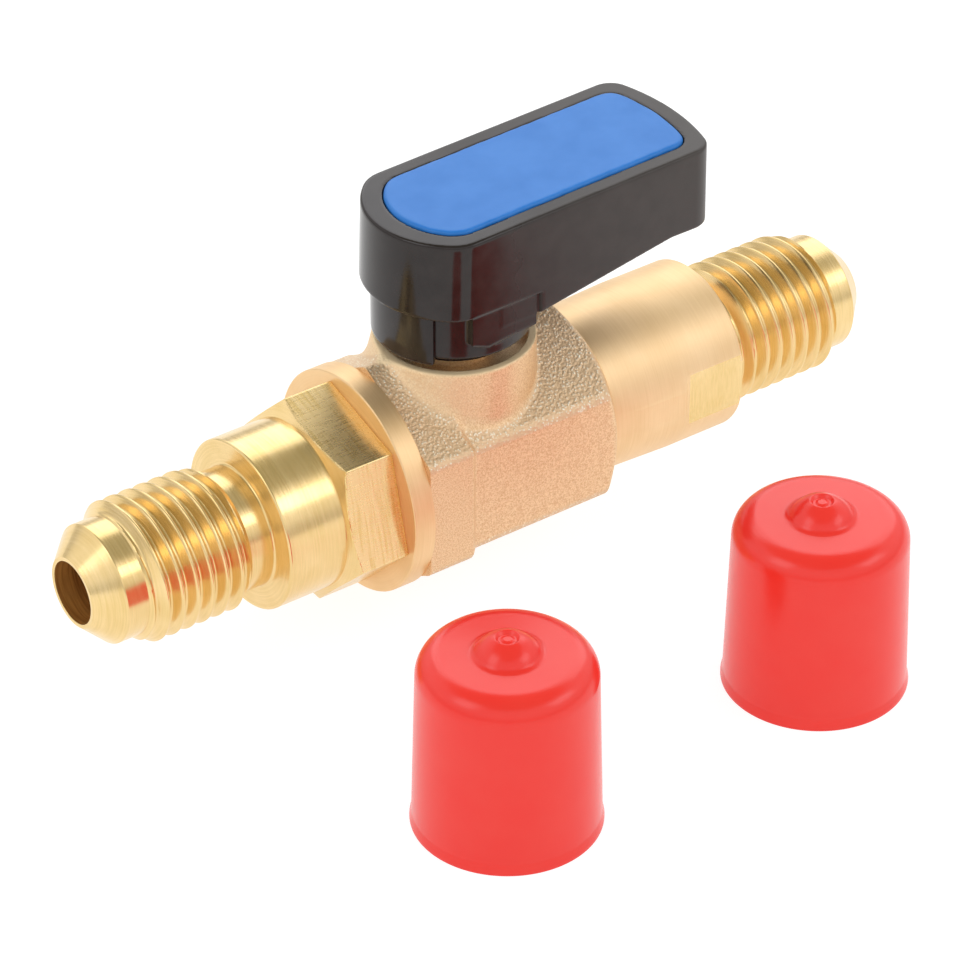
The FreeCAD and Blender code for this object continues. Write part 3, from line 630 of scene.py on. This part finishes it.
def casting_distance(x, y, z):
    """Cast body between the collar and the barrel, with its hollows."""
    off_stem = np.hypot(x, y)
    neck = np.maximum(off_neck(x, y, z), NECK_FOOT - z)
    fillet = NECK_FILLET + FILLET_GROWTH * np.clip(0.5 - x / NECK_R, 0, 1)
    solid = smooth_min(casting_blocks(x, y, z), neck, fillet)
    solid = round_both(solid, z - NECK_TOP, NECK_RIM_ROUND)
    solid = np.maximum(solid, x - BARREL_START - BARREL_LAP)
    well = np.maximum(off_stem - WELL_R, WELL_FLOOR - z)
    solid = round_both(solid, -well, WELL_ROUND)
    solid = smooth_min(solid, rod_distance(off_stem, BOSS_R, z, NECK_FOOT, BOSS_TOP), BOSS_BLEND)
    for hollow in casting_hollows(x, y, z):
        solid = np.maximum(solid, -hollow)
    return solid


def past_arc(x, y, centre, radius, start, end):
    """Distance past an arc, or past its end tangents outside its sweep."""
    u, v = x - centre[0], y - centre[1]
    first = u * math.cos(start) + v * math.sin(start)
    last = u * math.cos(end) + v * math.sin(end)
    within = (v * math.cos(start) - u * math.sin(start) >= 0) & (u * math.sin(end) - v * math.cos(end) >= 0)
    return np.where(within, np.hypot(u, v), np.maximum(first, last)) - radius


def rounded_plan(x, y, ends, half):
    """Signed distance to a long outline with an arc at each end, given from the hub to the tip."""
    y = np.abs(y)
    result = None
    for side, (reach, end_r, corner) in zip((-1, 1), ends):
        end_x = side * (reach - end_r)
        across = half - corner
        along = math.sqrt((end_r - corner) ** 2 - across ** 2)
        bend = math.atan2(across, along)
        end_arc = past_arc(side * x, y, (side * end_x, 0), end_r, 0, bend)
        corner_arc = past_arc(side * x, y, (side * end_x + along, across), corner, bend, math.pi / 2)
        part = np.maximum(end_arc, corner_arc)
        result = part if result is None else np.maximum(result, part)
    return result


def lever_plan(x, y, hub_spread=0.0):
    """Signed distance to the lever's outline seen from above. Lower down the hub's end spreads."""
    x = np.where(x < 0, np.minimum(x + hub_spread, 0), x)
    return rounded_plan(x, y, LEVER_ENDS, LEVER_HALF)


def under_top(x, z):
    """Place along the lever's sloped top, and height above it."""
    along = x * math.cos(TOP_SLOPE) + (z - LEVER_TOP) * math.sin(TOP_SLOPE)
    height = (z - LEVER_TOP) * math.cos(TOP_SLOPE) - x * math.sin(TOP_SLOPE)
    return along, height


def arm_floor(x):
    """Height of the lever's underside along its length."""
    share = np.clip((x - ARM_START) / (ARM_LEVEL - ARM_START), 0, 1)
    arm = ARM_LOW + (ARM_HIGH - ARM_LOW) * share
    return np.where(x < ARM_START, HUB_WALL_Z, arm)


def round_both(a, b, size):
    """Where two solids overlap, with the edge between them rounded."""
    inner = np.minimum(np.maximum(a + size, b + size), 0)
    return inner + np.hypot(np.maximum(a + size, 0), np.maximum(b + size, 0)) - size


def turn_off(x, y, middle):
    """Angle round the stem between a point and a direction, either way."""
    return np.abs((np.arctan2(y, x) - middle + math.pi) % (2 * math.pi) - math.pi)


def off_pegs(along, y):
    """Distance off the nearest of the insert's pegs."""
    return np.minimum.reduce([np.hypot(along - peg_x, y) for peg_x in PEG_PLACES]) - PEG_R


def lever_shell(x, y, z, height):
    """Drafted shell with its hollow underside and ribs."""
    spread = np.clip((-LEVER_EDGE - height) / (LEVER_TOP - LEVER_EDGE - LEVER_LOW), 0, 1)
    wall = lever_plan(x, y, HUB_DRAFT * spread) - SIDE_DRAFT * spread
    shell = round_both(wall, height, LEVER_EDGE)
    arm = np.maximum(ARM_LOW + (x - ARM_START) * ARM_SLOPE - z, ARM_LOW - z)
    arm = np.where(x > ARM_LEVEL, ARM_HIGH - z, arm) / math.hypot(1, ARM_SLOPE)
    below = np.maximum(arm, np.minimum(HUB_WALL_Z - z, ARM_START - x))
    shell = round_both(shell, below, MOULD_EDGE)
    hollow = np.maximum(lever_plan(x, y) + LEVER_WALL, height + LEVER_ROOF)
    hollow = np.maximum(hollow, ARM_START + LEVER_WALL - x)
    rib = np.minimum(np.abs(y), np.abs(x - CROSS_RIB)) - RIB / 2
    rib = np.maximum(rib, arm_floor(x) + RIB_RISE - z)
    return smooth_max(shell, -smooth_max(hollow, -rib, MOULD_BLEND), MOULD_BLEND)


def side_pads(x, y, z, joined_z):
    """Pad on each side of the hub, whose lower edge dips between its ends."""
    box = np.maximum(np.maximum(PAD_START - x, x - PAD_END), np.abs(y) - PAD_Y)
    dip = np.interp(x, PAD_DIP_PLACES, PAD_DIPS)
    pads = round_both(box, np.maximum((PAD_FOOT - dip - z) * 0.9, joined_z), MOULD_EDGE)
    return np.maximum(pads, 1 - np.abs(y))


def lever_foot(x, y, z):
    """Stop skirt, hub, front band, pads and arm root, each with its blend into what is above."""
    off_stem = np.hypot(x, y)
    joined_z = z - HUB_WALL_Z - JOIN
    skirt = np.maximum(off_stem - SKIRT_R, SKIRT_R - SKIRT_WALL - JOIN - off_stem)
    skirt = round_both(skirt, (turn_off(x, y, SKIRT_MIDDLE) - SKIRT_HALF) * SKIRT_R, MOULD_BLEND)
    skirt = round_both(skirt, np.maximum(SKIRT_FOOT - z, joined_z), MOULD_EDGE)
    hub = round_both(off_stem - HUB_R, np.maximum(HUB_FOOT - z, joined_z), MOULD_EDGE)
    band_end = (turn_off(x, y, -math.pi / 2) - HUB_BAND_HALF) * HUB_BAND_R
    band = round_both(off_stem - HUB_BAND_R, band_end, MOULD_EDGE)
    band = round_both(band, np.maximum(HUB_BAND_FOOT - z, joined_z), MOULD_EDGE)
    root = np.maximum(np.maximum(-x, x - (ARM_START + JOIN)), np.abs(y) - ROOT_Y)
    root = np.maximum(root, np.maximum(ARM_LOW - z, z - (HUB_WALL_Z + JOIN)))
    return ((skirt, MOULD_BLEND), (hub, MOULD_BLEND), (band, PAD_BLEND),
            (side_pads(x, y, z, joined_z), PAD_BLEND), (root, MOULD_BLEND))


def lever_hollows(x, y, z, along, height):
    """Room for the body's boss, the stem and its flats, the screw, the stop pin and the pegs."""
    off_stem = np.hypot(x, y)
    stem = off_stem - STEM_BORE_R
    slot_end = (turn_off(x, y, SLOT_MIDDLE) - math.pi / 4 - SLOT_PLAY) * PIN_RADIUS
    slot = np.maximum(np.abs(off_stem - PIN_RADIUS) - SLOT_HALF, slot_end)
    return (np.maximum(off_stem - BOSS_R - MOULD_GAP, z - BOSS_TOP - MOULD_GAP),
            np.maximum(stem, z - STEM_FLAT_Z),
            np.maximum(np.maximum(stem, np.abs(y) - STEM_FLAT), z - SEAT_Z - JOIN),
            np.maximum(off_stem - SCREW_WELL_R, SEAT_Z - z),
            np.maximum(slot, z - SLOT_TOP),
            np.maximum(off_pegs(along, y) - PEG_GAP, -INSERT_DEPTH - PEG_LENGTH - MOULD_GAP - height))


def lever_distance(x, y, z):
    """Moulded lever: drafted shell, hub, stop skirt, side pads, ribs and insert pocket."""
    along, height = under_top(x, z)
    solid = lever_shell(x, y, z, height)
    for form, blend in lever_foot(x, y, z):
        solid = smooth_min(solid, form, blend)
    pocket = np.maximum(rounded_plan(along, y, INSERT_ENDS, INSERT_HALF), -INSERT_DEPTH - height)
    solid = round_both(solid, -pocket, POCKET_EDGE)
    for hollow in lever_hollows(x, y, z, along, height):
        solid = np.maximum(solid, -hollow)
    return solid


def insert_distance(x, y, z):
    """Coloured plate with a rounded edge that isn't quite even, and two pegs."""
    along, height = under_top(x, z)
    wander = 0.02 * np.sin(1.3 * x + 0.7) * np.sin(2.1 * y + 0.4 * x) + 0.012 * np.sin(4.7 * x - 1.9 * y)
    edge = rounded_plan(along, y, INSERT_ENDS, INSERT_HALF) + INSERT_GAP + wander
    plate = round_both(edge, height - INSERT_PROUD, INSERT_EDGE)
    plate = np.maximum(plate, -INSERT_DEPTH - height)
    pegs = np.maximum(off_pegs(along, y), -INSERT_DEPTH - PEG_LENGTH - height)
    return np.minimum(plate, np.maximum(pegs, height + INSERT_DEPTH - JOIN))


def arc_points(centre, radius, start, end, steps=8):
    """Points along an arc, with angles in degrees."""
    turns = [math.radians(start + (end - start) * k / steps) for k in range(steps + 1)]
    return [(centre[0] + radius * math.cos(a), centre[1] + radius * math.sin(a)) for a in turns]


def cap_profile():
    """Outside from the nub's dimple to the lip, then the inside back to the middle."""
    crown = FLOOR_Z + CAP_HEIGHT
    dome_r = (NUB_R ** 2 + NUB_HEIGHT ** 2) / (2 * NUB_HEIGHT)
    dome_z = crown + NUB_HEIGHT - dome_r
    rise = crown + NUB_FOOT - dome_z
    foot_r = math.sqrt((dome_r + NUB_FOOT) ** 2 - rise ** 2)
    lean = math.degrees(math.atan2(rise, foot_r))
    ring_r = DIMPLE_R + DIMPLE_RIM
    ring_turn = math.degrees(math.acos(ring_r / dome_r))
    ring_z = dome_z + dome_r * math.sin(math.radians(ring_turn))
    dimple_z = ring_z - DIMPLE_DEPTH
    button_z = dimple_z + BUTTON_RISE
    dimple = rounded([(0, button_z, 0), (BUTTON_R, button_z, 0.1), (BUTTON_R + 0.2, dimple_z, 0.12),
                      (DIMPLE_R - 0.2, dimple_z, 0.08), (DIMPLE_R, ring_z + 0.04, 0.1), (ring_r, ring_z, 0)])
    dome = arc_points((0, dome_z), dome_r, ring_turn, lean, 10)
    nub_foot = arc_points((foot_r, crown + NUB_FOOT), NUB_FOOT, 180 + lean, 270, 6)
    outside = arc_points((CAP_TOP_R - CAP_ROUND, crown - CAP_ROUND), CAP_ROUND, 90, 0, 14)
    roof_z = crown - CAP_ROOF
    rest = rounded([outside[-1] + (0,), (CAP_FOOT_R, FLOOR_Z + CAP_LIP_HEIGHT, CAP_SOFT_EDGE),
                    (CAP_LIP_R, FLOOR_Z + 0.25, 0.2), (CAP_LIP_R, FLOOR_Z, CAP_LIP_EDGE),
                    (CAP_INSIDE_R + 0.15, FLOOR_Z, CAP_LIP_EDGE), (CAP_INSIDE_R, FLOOR_Z + 1, 0.5),
                    (CAP_INSIDE_R, roof_z, CAP_SOFT_EDGE), (0, roof_z, 0)], 6)
    return dimple + dome[1:] + nub_foot[1:] + outside + rest[1:]


def colour(red, green, blue):
    """Linear colour from a screen colour of 0 to 255."""
    def linear(value):
        value = value / 255
        return value / 12.92 if value <= 0.04045 else ((value + 0.055) / 1.055) ** 2.4
    return (linear(red), linear(green), linear(blue), 1.0)


def grey(level):
    """Plain grey of a given brightness."""
    return (level, level, level, 1)


BRASS_DARK = colour(234, 201, 134)
BRASS_LIGHT = colour(248, 218, 160)
BRASS_METALLIC = 0.84


def feed(tree, socket, value):
    """Links an input to another node's socket, or sets it to a number or colour."""
    if isinstance(value, bpy.types.NodeSocket):
        tree.links.new(value, socket)
    else:
        socket.default_value = value


def add_node(tree, kind, settings=None, **inputs):
    """Adds a node. Settings are its own properties, and inputs are numbers or sockets by name."""
    node = tree.nodes.new("ShaderNode" + kind)
    for name, value in (settings or {}).items():
        setattr(node, name, value)
    for name, value in inputs.items():
        feed(tree, node.inputs[name.replace("_", " ")], value)
    return node


def fed_node(tree, kind, settings, *values):
    """Outputs of a new node whose inputs are numbers, vectors or sockets, in order."""
    node = add_node(tree, kind, settings)
    for socket, value in zip(node.inputs, values):
        feed(tree, socket, value)
    return node.outputs


def calculate(tree, operation, *values):
    return fed_node(tree, "Math", {"operation": operation}, *values)[0]


def vector_math(tree, operation, *values):
    return fed_node(tree, "VectorMath", {"operation": operation}, *values)


def scaled(tree, value, factor, offset=0.0):
    """Value times a factor, plus an offset."""
    return calculate(tree, "MULTIPLY_ADD", value, factor, offset)


def new_material(name, roughness, metallic=0.0, specular=0.5):
    """New material with its node tree. Roughness and metallic may be linked later."""
    material = bpy.data.materials.new(name)
    material.use_nodes = True
    inputs = material.node_tree.nodes["Principled BSDF"].inputs
    inputs["Roughness"].default_value = roughness
    inputs["Metallic"].default_value = metallic
    inputs["Specular IOR Level"].default_value = specular
    return material, material.node_tree


def place_in_mm(tree):
    """The shaded point's own place on the object, in millimetres."""
    place = add_node(tree, "TexCoord").outputs["Object"]
    return vector_math(tree, "MULTIPLY", place, (1 / MM, 1 / MM, 1 / MM))["Vector"]


def noise(tree, place, scale, detail, roughness=0.5):
    node = add_node(tree, "TexNoise", Vector=place, Scale=scale, Detail=detail, Roughness=roughness)
    return node.outputs["Fac"]


def ramp(tree, value, low, high, low_colour, high_colour):
    """Colour that runs between two as a value runs between two others."""
    node = add_node(tree, "ValToRGB", Fac=value)
    for stop, place, tone in zip(node.color_ramp.elements, (low, high), (low_colour, high_colour)):
        stop.position = place
        stop.color = tone
    return node.outputs["Color"]


def bump(tree, height, strength, depth_mm):
    node = add_node(tree, "Bump", Height=height, Strength=strength, Distance=depth_mm * MM)
    return node.outputs["Normal"]


def weighted(tree, first, first_share, second, second_share):
    """Sum of two values, each times its share."""
    return scaled(tree, first, first_share, scaled(tree, second, second_share))


def mixed(tree, factor, first, second):
    """Colour between two, by a factor."""
    node = add_node(tree, "Mix", {"data_type": "RGBA"})
    for place, value in ((0, factor), (6, first), (7, second)):
        feed(tree, node.inputs[place], value)
    return node.outputs[2]


def finish(tree, *sockets):
    """Links the shader's base colour, roughness, normal and metallic, as many as are given."""
    for name, socket in zip(("Base Color", "Roughness", "Normal", "Metallic"), sockets):
        tree.links.new(socket, tree.nodes["Principled BSDF"].inputs[name])


def turning_place(tree, place, along, around):
    """Coordinates that change fast along and out from the flow axis and slowly round it."""
    parts = add_node(tree, "SeparateXYZ", Vector=place).outputs
    across = add_node(tree, "CombineXYZ", Y=parts["Y"], Z=parts["Z"]).outputs[0]
    radius = vector_math(tree, "LENGTH", across)["Value"]
    lines = add_node(tree, "CombineXYZ", X=scaled(tree, parts["X"], along),
                     Y=scaled(tree, radius, along)).outputs[0]
    drift = vector_math(tree, "MULTIPLY", across, (around, around, around))["Vector"]
    return vector_math(tree, "ADD", lines, drift)["Vector"]


def turned_brass(name, dark, light, roughness, line_depth, spread=0.14):
    """Brass with fine turning lines round the flow axis."""
    material, tree = new_material(name, roughness, BRASS_METALLIC)
    place = place_in_mm(tree)
    fine = noise(tree, turning_place(tree, place, 9.0, 0.25), 1.0, 3.0)
    broad = noise(tree, place, 0.35, 2.0)
    tone = weighted(tree, fine, 0.5, broad, 0.5)
    finish(tree, ramp(tree, tone, 0.35, 0.65, dark, light),
           scaled(tree, fine, spread, roughness - spread / 2),
           bump(tree, fine, 0.5, line_depth))
    return material


def drawn_brass():
    """Faces of the hexagon bar as it was drawn: fine lines along the bar, with a few dents across."""
    material, tree = new_material("drawn_brass", 0.3, BRASS_METALLIC)
    place = place_in_mm(tree)
    lines = noise(tree, vector_math(tree, "MULTIPLY", place, (0.7, 7.0, 7.0))["Vector"], 1.0, 3.0, 0.6)
    chatter = noise(tree, vector_math(tree, "MULTIPLY", place, (5.0, 0.3, 0.3))["Vector"], 1.0, 1.0)
    height = weighted(tree, lines, 0.6, chatter, 1.3)
    finish(tree, ramp(tree, height, 0.7, 1.2, BRASS_DARK, BRASS_LIGHT),
           scaled(tree, lines, 0.2, 0.18),
           bump(tree, height, 0.5, 0.012))
    return material


def bore_brass_painted_shade():
    """Duller brass inside the bore, whose brown colour is painted shade."""
    material, tree = new_material("bore_brass_painted_shade", 0.5, 0.55)
    fine = noise(tree, turning_place(tree, place_in_mm(tree), 7.0, 0.3), 1.0, 2.0)
    # Painted shade: a browner, darker brass colour for the inside of the bore.
    finish(tree, ramp(tree, fine, 0.35, 0.65, colour(168, 112, 50), colour(206, 150, 76)),
           scaled(tree, fine, 0.2, 0.4))
    return material


def cast_brass():
    """Cast brass: beads of sand grain where the mould was rough, fine speckle where it was dressed."""
    material, tree = new_material("cast_brass_finish", 0.4, 1.0)
    place = place_in_mm(tree)
    grain = add_node(tree, "Attribute", {"attribute_name": "grain"}).outputs["Fac"]
    rim_and_painted_light = add_node(tree, "Attribute", {"attribute_name": "rim_and_painted_light"}).outputs["Fac"]
    beads = add_node(tree, "TexVoronoi", {"feature": "SMOOTH_F1"}, Vector=place, Scale=4.4,
                     Smoothness=0.35).outputs["Distance"]
    coarse = noise(tree, place, 4.4, 3.0, 0.6)
    fine = noise(tree, place, 9.0, 3.0, 0.6)
    sand = weighted(tree, coarse, 0.8, beads, -1.0)
    relief = weighted(tree, sand, grain, fine, 0.3)
    pits = calculate(tree, "GREATER_THAN", noise(tree, place, 4.5, 0.0), 0.68)
    relief = scaled(tree, pits, -0.25, relief)
    pink = ramp(tree, fine, 0.36, 0.62, colour(224, 183, 136), colour(252, 222, 180))
    sandy = ramp(tree, sand, -0.1, 0.3, colour(234, 202, 162), colour(255, 248, 228))
    bare = scaled(tree, grain, -0.2, BRASS_METALLIC)
    # Painted light: the neck's rim and the neck's side towards the adapter get a pale cream colour, with
    # more roughness and less metal.
    finish(tree, mixed(tree, rim_and_painted_light, mixed(tree, grain, pink, sandy), colour(255, 228, 184)),
           scaled(tree, rim_and_painted_light, 0.1, 0.48),
           bump(tree, relief, 0.6, 0.1),
           scaled(tree, rim_and_painted_light, -0.5, bare))
    return material


def black_plastic():
    """Glossy black moulding with faint cloudy tone, lighter towards the tip: the colour darkens towards the
    hub as painted shade, and the gloss dulls towards the tip.
    """
    material, tree = new_material("black_plastic", 0.18, specular=0.38)
    place = place_in_mm(tree)
    cloudy = noise(tree, place, 0.5, 3.0)
    fine = noise(tree, place, 7.0, 2.0)
    along = add_node(tree, "SeparateXYZ", Vector=place).outputs["X"]
    # Painted shade: on top of the cloudy tone, the colour darkens along X towards the hub.
    cloud_tone_and_hub_shade = weighted(tree, along, 0.025, cloudy, 0.5)
    dulling = calculate(tree, "MINIMUM", scaled(tree, along, 0.035, 0.17), 0.3)
    dulling = calculate(tree, "MAXIMUM", dulling, 0.06)
    finish(tree, ramp(tree, cloud_tone_and_hub_shade, 0.05, 0.65, colour(34, 26, 24), colour(66, 60, 57)),
           scaled(tree, cloudy, 0.12, dulling),
           bump(tree, fine, 0.25, 0.01))
    return material


def plain_moulding(name, dark, light, roughness, wave=0.4, depth=0.01, metallic=0.0, specular=0.5):
    """Moulded or stamped material with slight unevenness in colour, gloss and surface."""
    material, tree = new_material(name, roughness, metallic, specular)
    place = place_in_mm(tree)
    cloudy = noise(tree, place, wave, 3.0)
    fine = noise(tree, place, 5.0, 2.0)
    finish(tree, ramp(tree, cloudy, 0.3, 0.7, dark, light),
           scaled(tree, fine, 0.1, roughness - 0.05),
           bump(tree, fine, 0.3, depth))
    return material


def dress_adapter():
    """Turned from drawn bar, so the hexagon's faces have the bar's finish and the rest is turned."""
    bright = turned_brass("bright_brass", BRASS_DARK, BRASS_LIGHT, 0.2, 0.006)
    piece = mesh_object("adapter_turned", *adapter_shell(), bright, drawn_brass(), bore_brass_painted_shade())
    for face in piece.data.polygons:
        x = face.center.x / MM
        r = math.hypot(face.center.y, face.center.z) / MM
        if r > HEX_APOTHEM - 0.1 and abs(face.normal.x) < 0.2:
            face.material_index = 1
        # Faces inside the bore take the third material, whose brown colour is painted shade.
        if r < MOUTH_R and abs(face.normal.x) < 0.7 and x > NEAR_FACE_X + 0.05:
            face.material_index = 2
    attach(piece, "valve")
    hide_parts("end_adapter")


def dress_barrel():
    """Turned parts of the body: collar, barrel and far flare, each with its own finish."""
    satin = turned_brass("satin_brass", colour(241, 206, 156), colour(250, 218, 172), 0.48, 0.004, 0.1)
    flare = turned_brass("flare_brass", BRASS_DARK, BRASS_LIGHT, 0.24, 0.006)
    collar = turned_brass("collar_brass", colour(241, 203, 150), colour(250, 215, 166), 0.46, 0.005)
    piece = mesh_object("barrel_turned", *joined(barrel_shell(), collar_shell()), satin, flare, collar)
    for face in piece.data.polygons:
        x = face.center.x / MM
        on_flat = abs(abs(face.center.y) / MM - FLAT_Y) < 0.03 and abs(face.normal.y) > 0.995
        if x > BARREL_END + 0.01 or on_flat and x > COLLAR_X:
            face.material_index = 1
        if x < COLLAR_X + COLLAR_WIDTH + 0.1:
            face.material_index = 2
    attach(piece, "valve")
    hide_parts("valve_body")


def grain_strength(places):
    """How rough the casting is at each point, and where the neck's rim and its foot's side towards the
    adapter get painted light: a paler, less metallic colour.
    """
    x, y, z = places.T
    normals = gradient(casting_distance, places)
    off_flow = np.hypot(y, z)
    off_stem = np.hypot(x, y)
    on_block = (off_flow > BODY_APOTHEM - 0.2) & (x > COLLAR_X + COLLAR_WIDTH + 0.05)
    sloping = np.clip((np.abs(normals[:, 2]) - 0.1) / 0.1, 0, 1)
    turned_face = np.abs(normals[:, 0]) > 0.7
    strength = np.where(on_block & ~turned_face, 0.08 + 0.92 * sloping, 0.05)
    by_neck = np.clip((0.8 - off_neck(x, y, z)) / 0.1, 0, 1)
    neck_share = by_neck * np.clip((0.66 - normals[:, 2]) / 0.1, 0, 1) * (z > 4.5)
    facing_adapter = -normals[:, 0] - 0.1
    scratched = 0.08 + 0.5 * np.clip(facing_adapter, 0, 0.7)
    strength = strength + (scratched - strength) * neck_share
    strength = np.where((z > WELL_FLOOR - 0.2) & (off_stem < NECK_R + 0.05), 0.03, strength)
    # Painted light: the neck's up-facing rim and its foot's side facing the adapter are marked for a paler
    # colour.
    rim_and_painted_light = np.clip((normals[:, 2] - 0.4) / 0.3, 0, 1) * (z > NECK_TOP - 0.25) * (off_stem > BOSS_R + 1)
    painted_light_towards_adapter = 0.5 * neck_share * np.clip(facing_adapter, 0, 0.8) / 0.8
    return strength, np.maximum(rim_and_painted_light, painted_light_towards_adapter)


def dress_casting():
    """Cast middle of the body, with its grain kept at each point for the material."""
    shell = contour(casting_distance, *CASTING_BOX, CASTING_STEP)
    piece = mesh_object("body_casting", *shell, cast_brass())
    for name, values in zip(("grain", "rim_and_painted_light"), grain_strength(vertex_places(piece.data))):
        attribute = piece.data.attributes.new(name, "FLOAT", "POINT")
        attribute.data.foreach_set("value", values.astype(np.float32))
    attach(piece, "valve")
    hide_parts("valve_body")


def dress_lever():
    """Black moulded lever."""
    shell = contour(lever_distance, *LEVER_BOX, LEVER_STEP)
    piece = mesh_object("lever_moulding", *shell, black_plastic())
    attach(piece, "turning_set")
    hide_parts("lever")


def dress_insert():
    """Blue plate in the lever's top."""
    dark, light = colour(30, 122, 212), colour(48, 131, 220)
    material = plain_moulding("blue_plastic", dark, light, 0.38, specular=0.36)
    shell = contour(insert_distance, *INSERT_BOX, INSERT_STEP)
    piece = mesh_object("insert_plate", *shell, material)
    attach(piece, "turning_set")
    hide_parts("lever_insert")


def dress_caps():
    """Red caps that stand on the floor, open side down."""
    material = plain_moulding("red_vinyl", colour(255, 50, 40), colour(255, 57, 46), 0.23, 0.3)
    for name, x in CAP_PLACES.items():
        shell = turned_upright(cap_profile(), CAP_STEPS, (x, CAP_ROW_Y))
        piece = mesh_object("cap_" + name, *shell, material)
        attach(piece, "valve")
        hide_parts("dust_cap_" + name)


def dress_inner_pieces():
    """Materials of the pieces inside, which keep their solids' shapes."""
    white = plain_moulding("white_seat_finish", colour(232, 230, 222), colour(242, 240, 234), 0.45)
    rubber = plain_moulding("black_rubber", colour(28, 28, 28), colour(38, 38, 38), 0.6)
    steel = plain_moulding("bright_steel_finish", colour(170, 172, 176), colour(200, 202, 205), 0.28,
                           0.8, 0.01, 1.0)
    plated = plain_moulding("plated_finish", colour(200, 200, 198), colour(222, 222, 220), 0.12,
                            0.3, 0.004, 1.0)
    brass = plain_moulding("stem_finish", colour(206, 168, 96), colour(226, 188, 112), 0.28,
                           0.6, 0.008, 1.0)
    finishes = {"ball": plated, "near_seat": white, "far_seat": white, "thrust_washer": white,
                "body_seal": rubber, "lower_stem_ring": rubber, "upper_stem_ring": rubber,
                "stop_pin": steel, "screw_washer": steel, "lever_screw": steel, "stem": brass}
    for name, material in finishes.items():
        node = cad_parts[name]
        node.data.materials.clear()
        node.data.materials.append(material)


def facing(azimuth, elevation):
    """Direction out from the object towards a camera or lamp, with angles in degrees."""
    a, e = math.radians(azimuth), math.radians(elevation)
    return Vector((math.sin(a) * math.cos(e), -math.cos(a) * math.cos(e), math.sin(e)))


def make_camera():
    """Camera at the photograph's place, in line with what it looks at."""
    azimuth = math.radians(CAMERA_AZIMUTH)
    back = facing(CAMERA_AZIMUTH, CAMERA_ELEVATION)
    right = Vector((math.cos(azimuth), math.sin(azimuth), 0))
    up = back.cross(right)
    camera = bpy.data.objects.new("camera", bpy.data.cameras.new("camera"))
    camera.data.sensor_width = CAMERA_SENSOR
    camera.data.lens = CAMERA_LENS
    camera.location = (right * CAMERA_RIGHT - up * CAMERA_DOWN + back * CAMERA_DISTANCE) * MM
    camera.rotation_euler = Matrix((right, up, back)).transposed().to_euler()
    bpy.context.scene.collection.objects.link(camera)
    bpy.context.scene.camera = camera


def make_floor():
    """White floor that shows white to the eye and to gloss, and keeps the object's soft shadow."""
    half, z = FLOOR_HALF, FLOOR_Z * MM
    corners = [(-half, -half, z), (half, -half, z), (half, half, z), (-half, half, z)]
    mesh = bpy.data.meshes.new("floor")
    mesh.from_pydata(corners, [], [(0, 1, 2, 3)])
    floor = bpy.data.objects.new("floor", mesh)
    bpy.context.scene.collection.objects.link(floor)
    material, tree = new_material("floor_white", 0.9, specular=0.0)
    shader = tree.nodes["Principled BSDF"]
    shader.inputs["Base Color"].default_value = grey(FLOOR_GREY)
    shown = add_node(tree, "BsdfDiffuse", Color=grey(FLOOR_SHADE))
    glow = add_node(tree, "Emission", Color=grey(1), Strength=FLOOR_GLOW)
    both = fed_node(tree, "AddShader", None, shown.outputs[0], glow.outputs[0])[0]
    rays = add_node(tree, "LightPath").outputs
    seen = calculate(tree, "MAXIMUM", rays["Is Camera Ray"], rays["Is Glossy Ray"])
    seen = calculate(tree, "MAXIMUM", seen, rays["Is Transmission Ray"])
    mix = fed_node(tree, "MixShader", None, seen, shader.outputs[0], both)[0]
    tree.links.new(mix, tree.nodes["Material Output"].inputs["Surface"])
    mesh.materials.append(material)


def make_world():
    """Studio surroundings: white walls that dim towards the floor, under a darker ceiling."""
    world = bpy.data.worlds.new("studio")
    bpy.context.scene.world = world
    world.use_nodes = True
    tree = world.node_tree
    background = tree.nodes["Background"]
    direction = add_node(tree, "TexCoord").outputs["Generated"]
    height = add_node(tree, "SeparateXYZ", Vector=direction).outputs["Z"]
    node = add_node(tree, "ValToRGB", Fac=height)
    stops = node.color_ramp.elements
    stops[0].position = 0.0
    stops[0].color = grey(WALL_FOOT)
    stops[1].position = 1.0
    stops[1].color = CEILING
    for elevation, tone in [(e, grey(level)) for e, level in WALL_LEVELS] + [(CEILING_EDGE, CEILING)]:
        stops.new(math.sin(math.radians(elevation))).color = tone
    tree.links.new(node.outputs["Color"], background.inputs["Color"])
    background.inputs["Strength"].default_value = 1.0


def make_lamp(name, azimuth, elevation, width, height, radiance):
    """Soft box that faces the object, as bright as asked for when seen."""
    lamp = bpy.data.lights.new(name, "AREA")
    lamp.shape = "RECTANGLE"
    lamp.size = width
    lamp.size_y = height
    lamp.energy = radiance * math.pi * width * height
    lamp.color = LAMP_TINT
    piece = bpy.data.objects.new(name, lamp)
    towards = facing(azimuth, elevation)
    piece.location = towards * LAMP_DISTANCE
    piece.rotation_mode = "QUATERNION"
    piece.rotation_quaternion = towards.to_track_quat("Z", "Y")
    bpy.context.scene.collection.objects.link(piece)


def make_lights():
    """World and the three soft boxes, whose sizes are in metres."""
    make_world()
    make_lamp("rear_box", azimuth=139, elevation=38, width=0.66, height=0.42, radiance=1.1)
    make_lamp("front_box", azimuth=40, elevation=38, width=0.3, height=0.17, radiance=1.8)
    make_lamp("left_box", azimuth=-95, elevation=45, width=0.25, height=0.3, radiance=1.4)


dress_adapter()
dress_barrel()
dress_casting()
dress_lever()
dress_insert()
dress_caps()
dress_inner_pieces()
make_camera()
make_floor()
make_lights()
bpy.context.scene.view_settings.view_transform = "Standard"
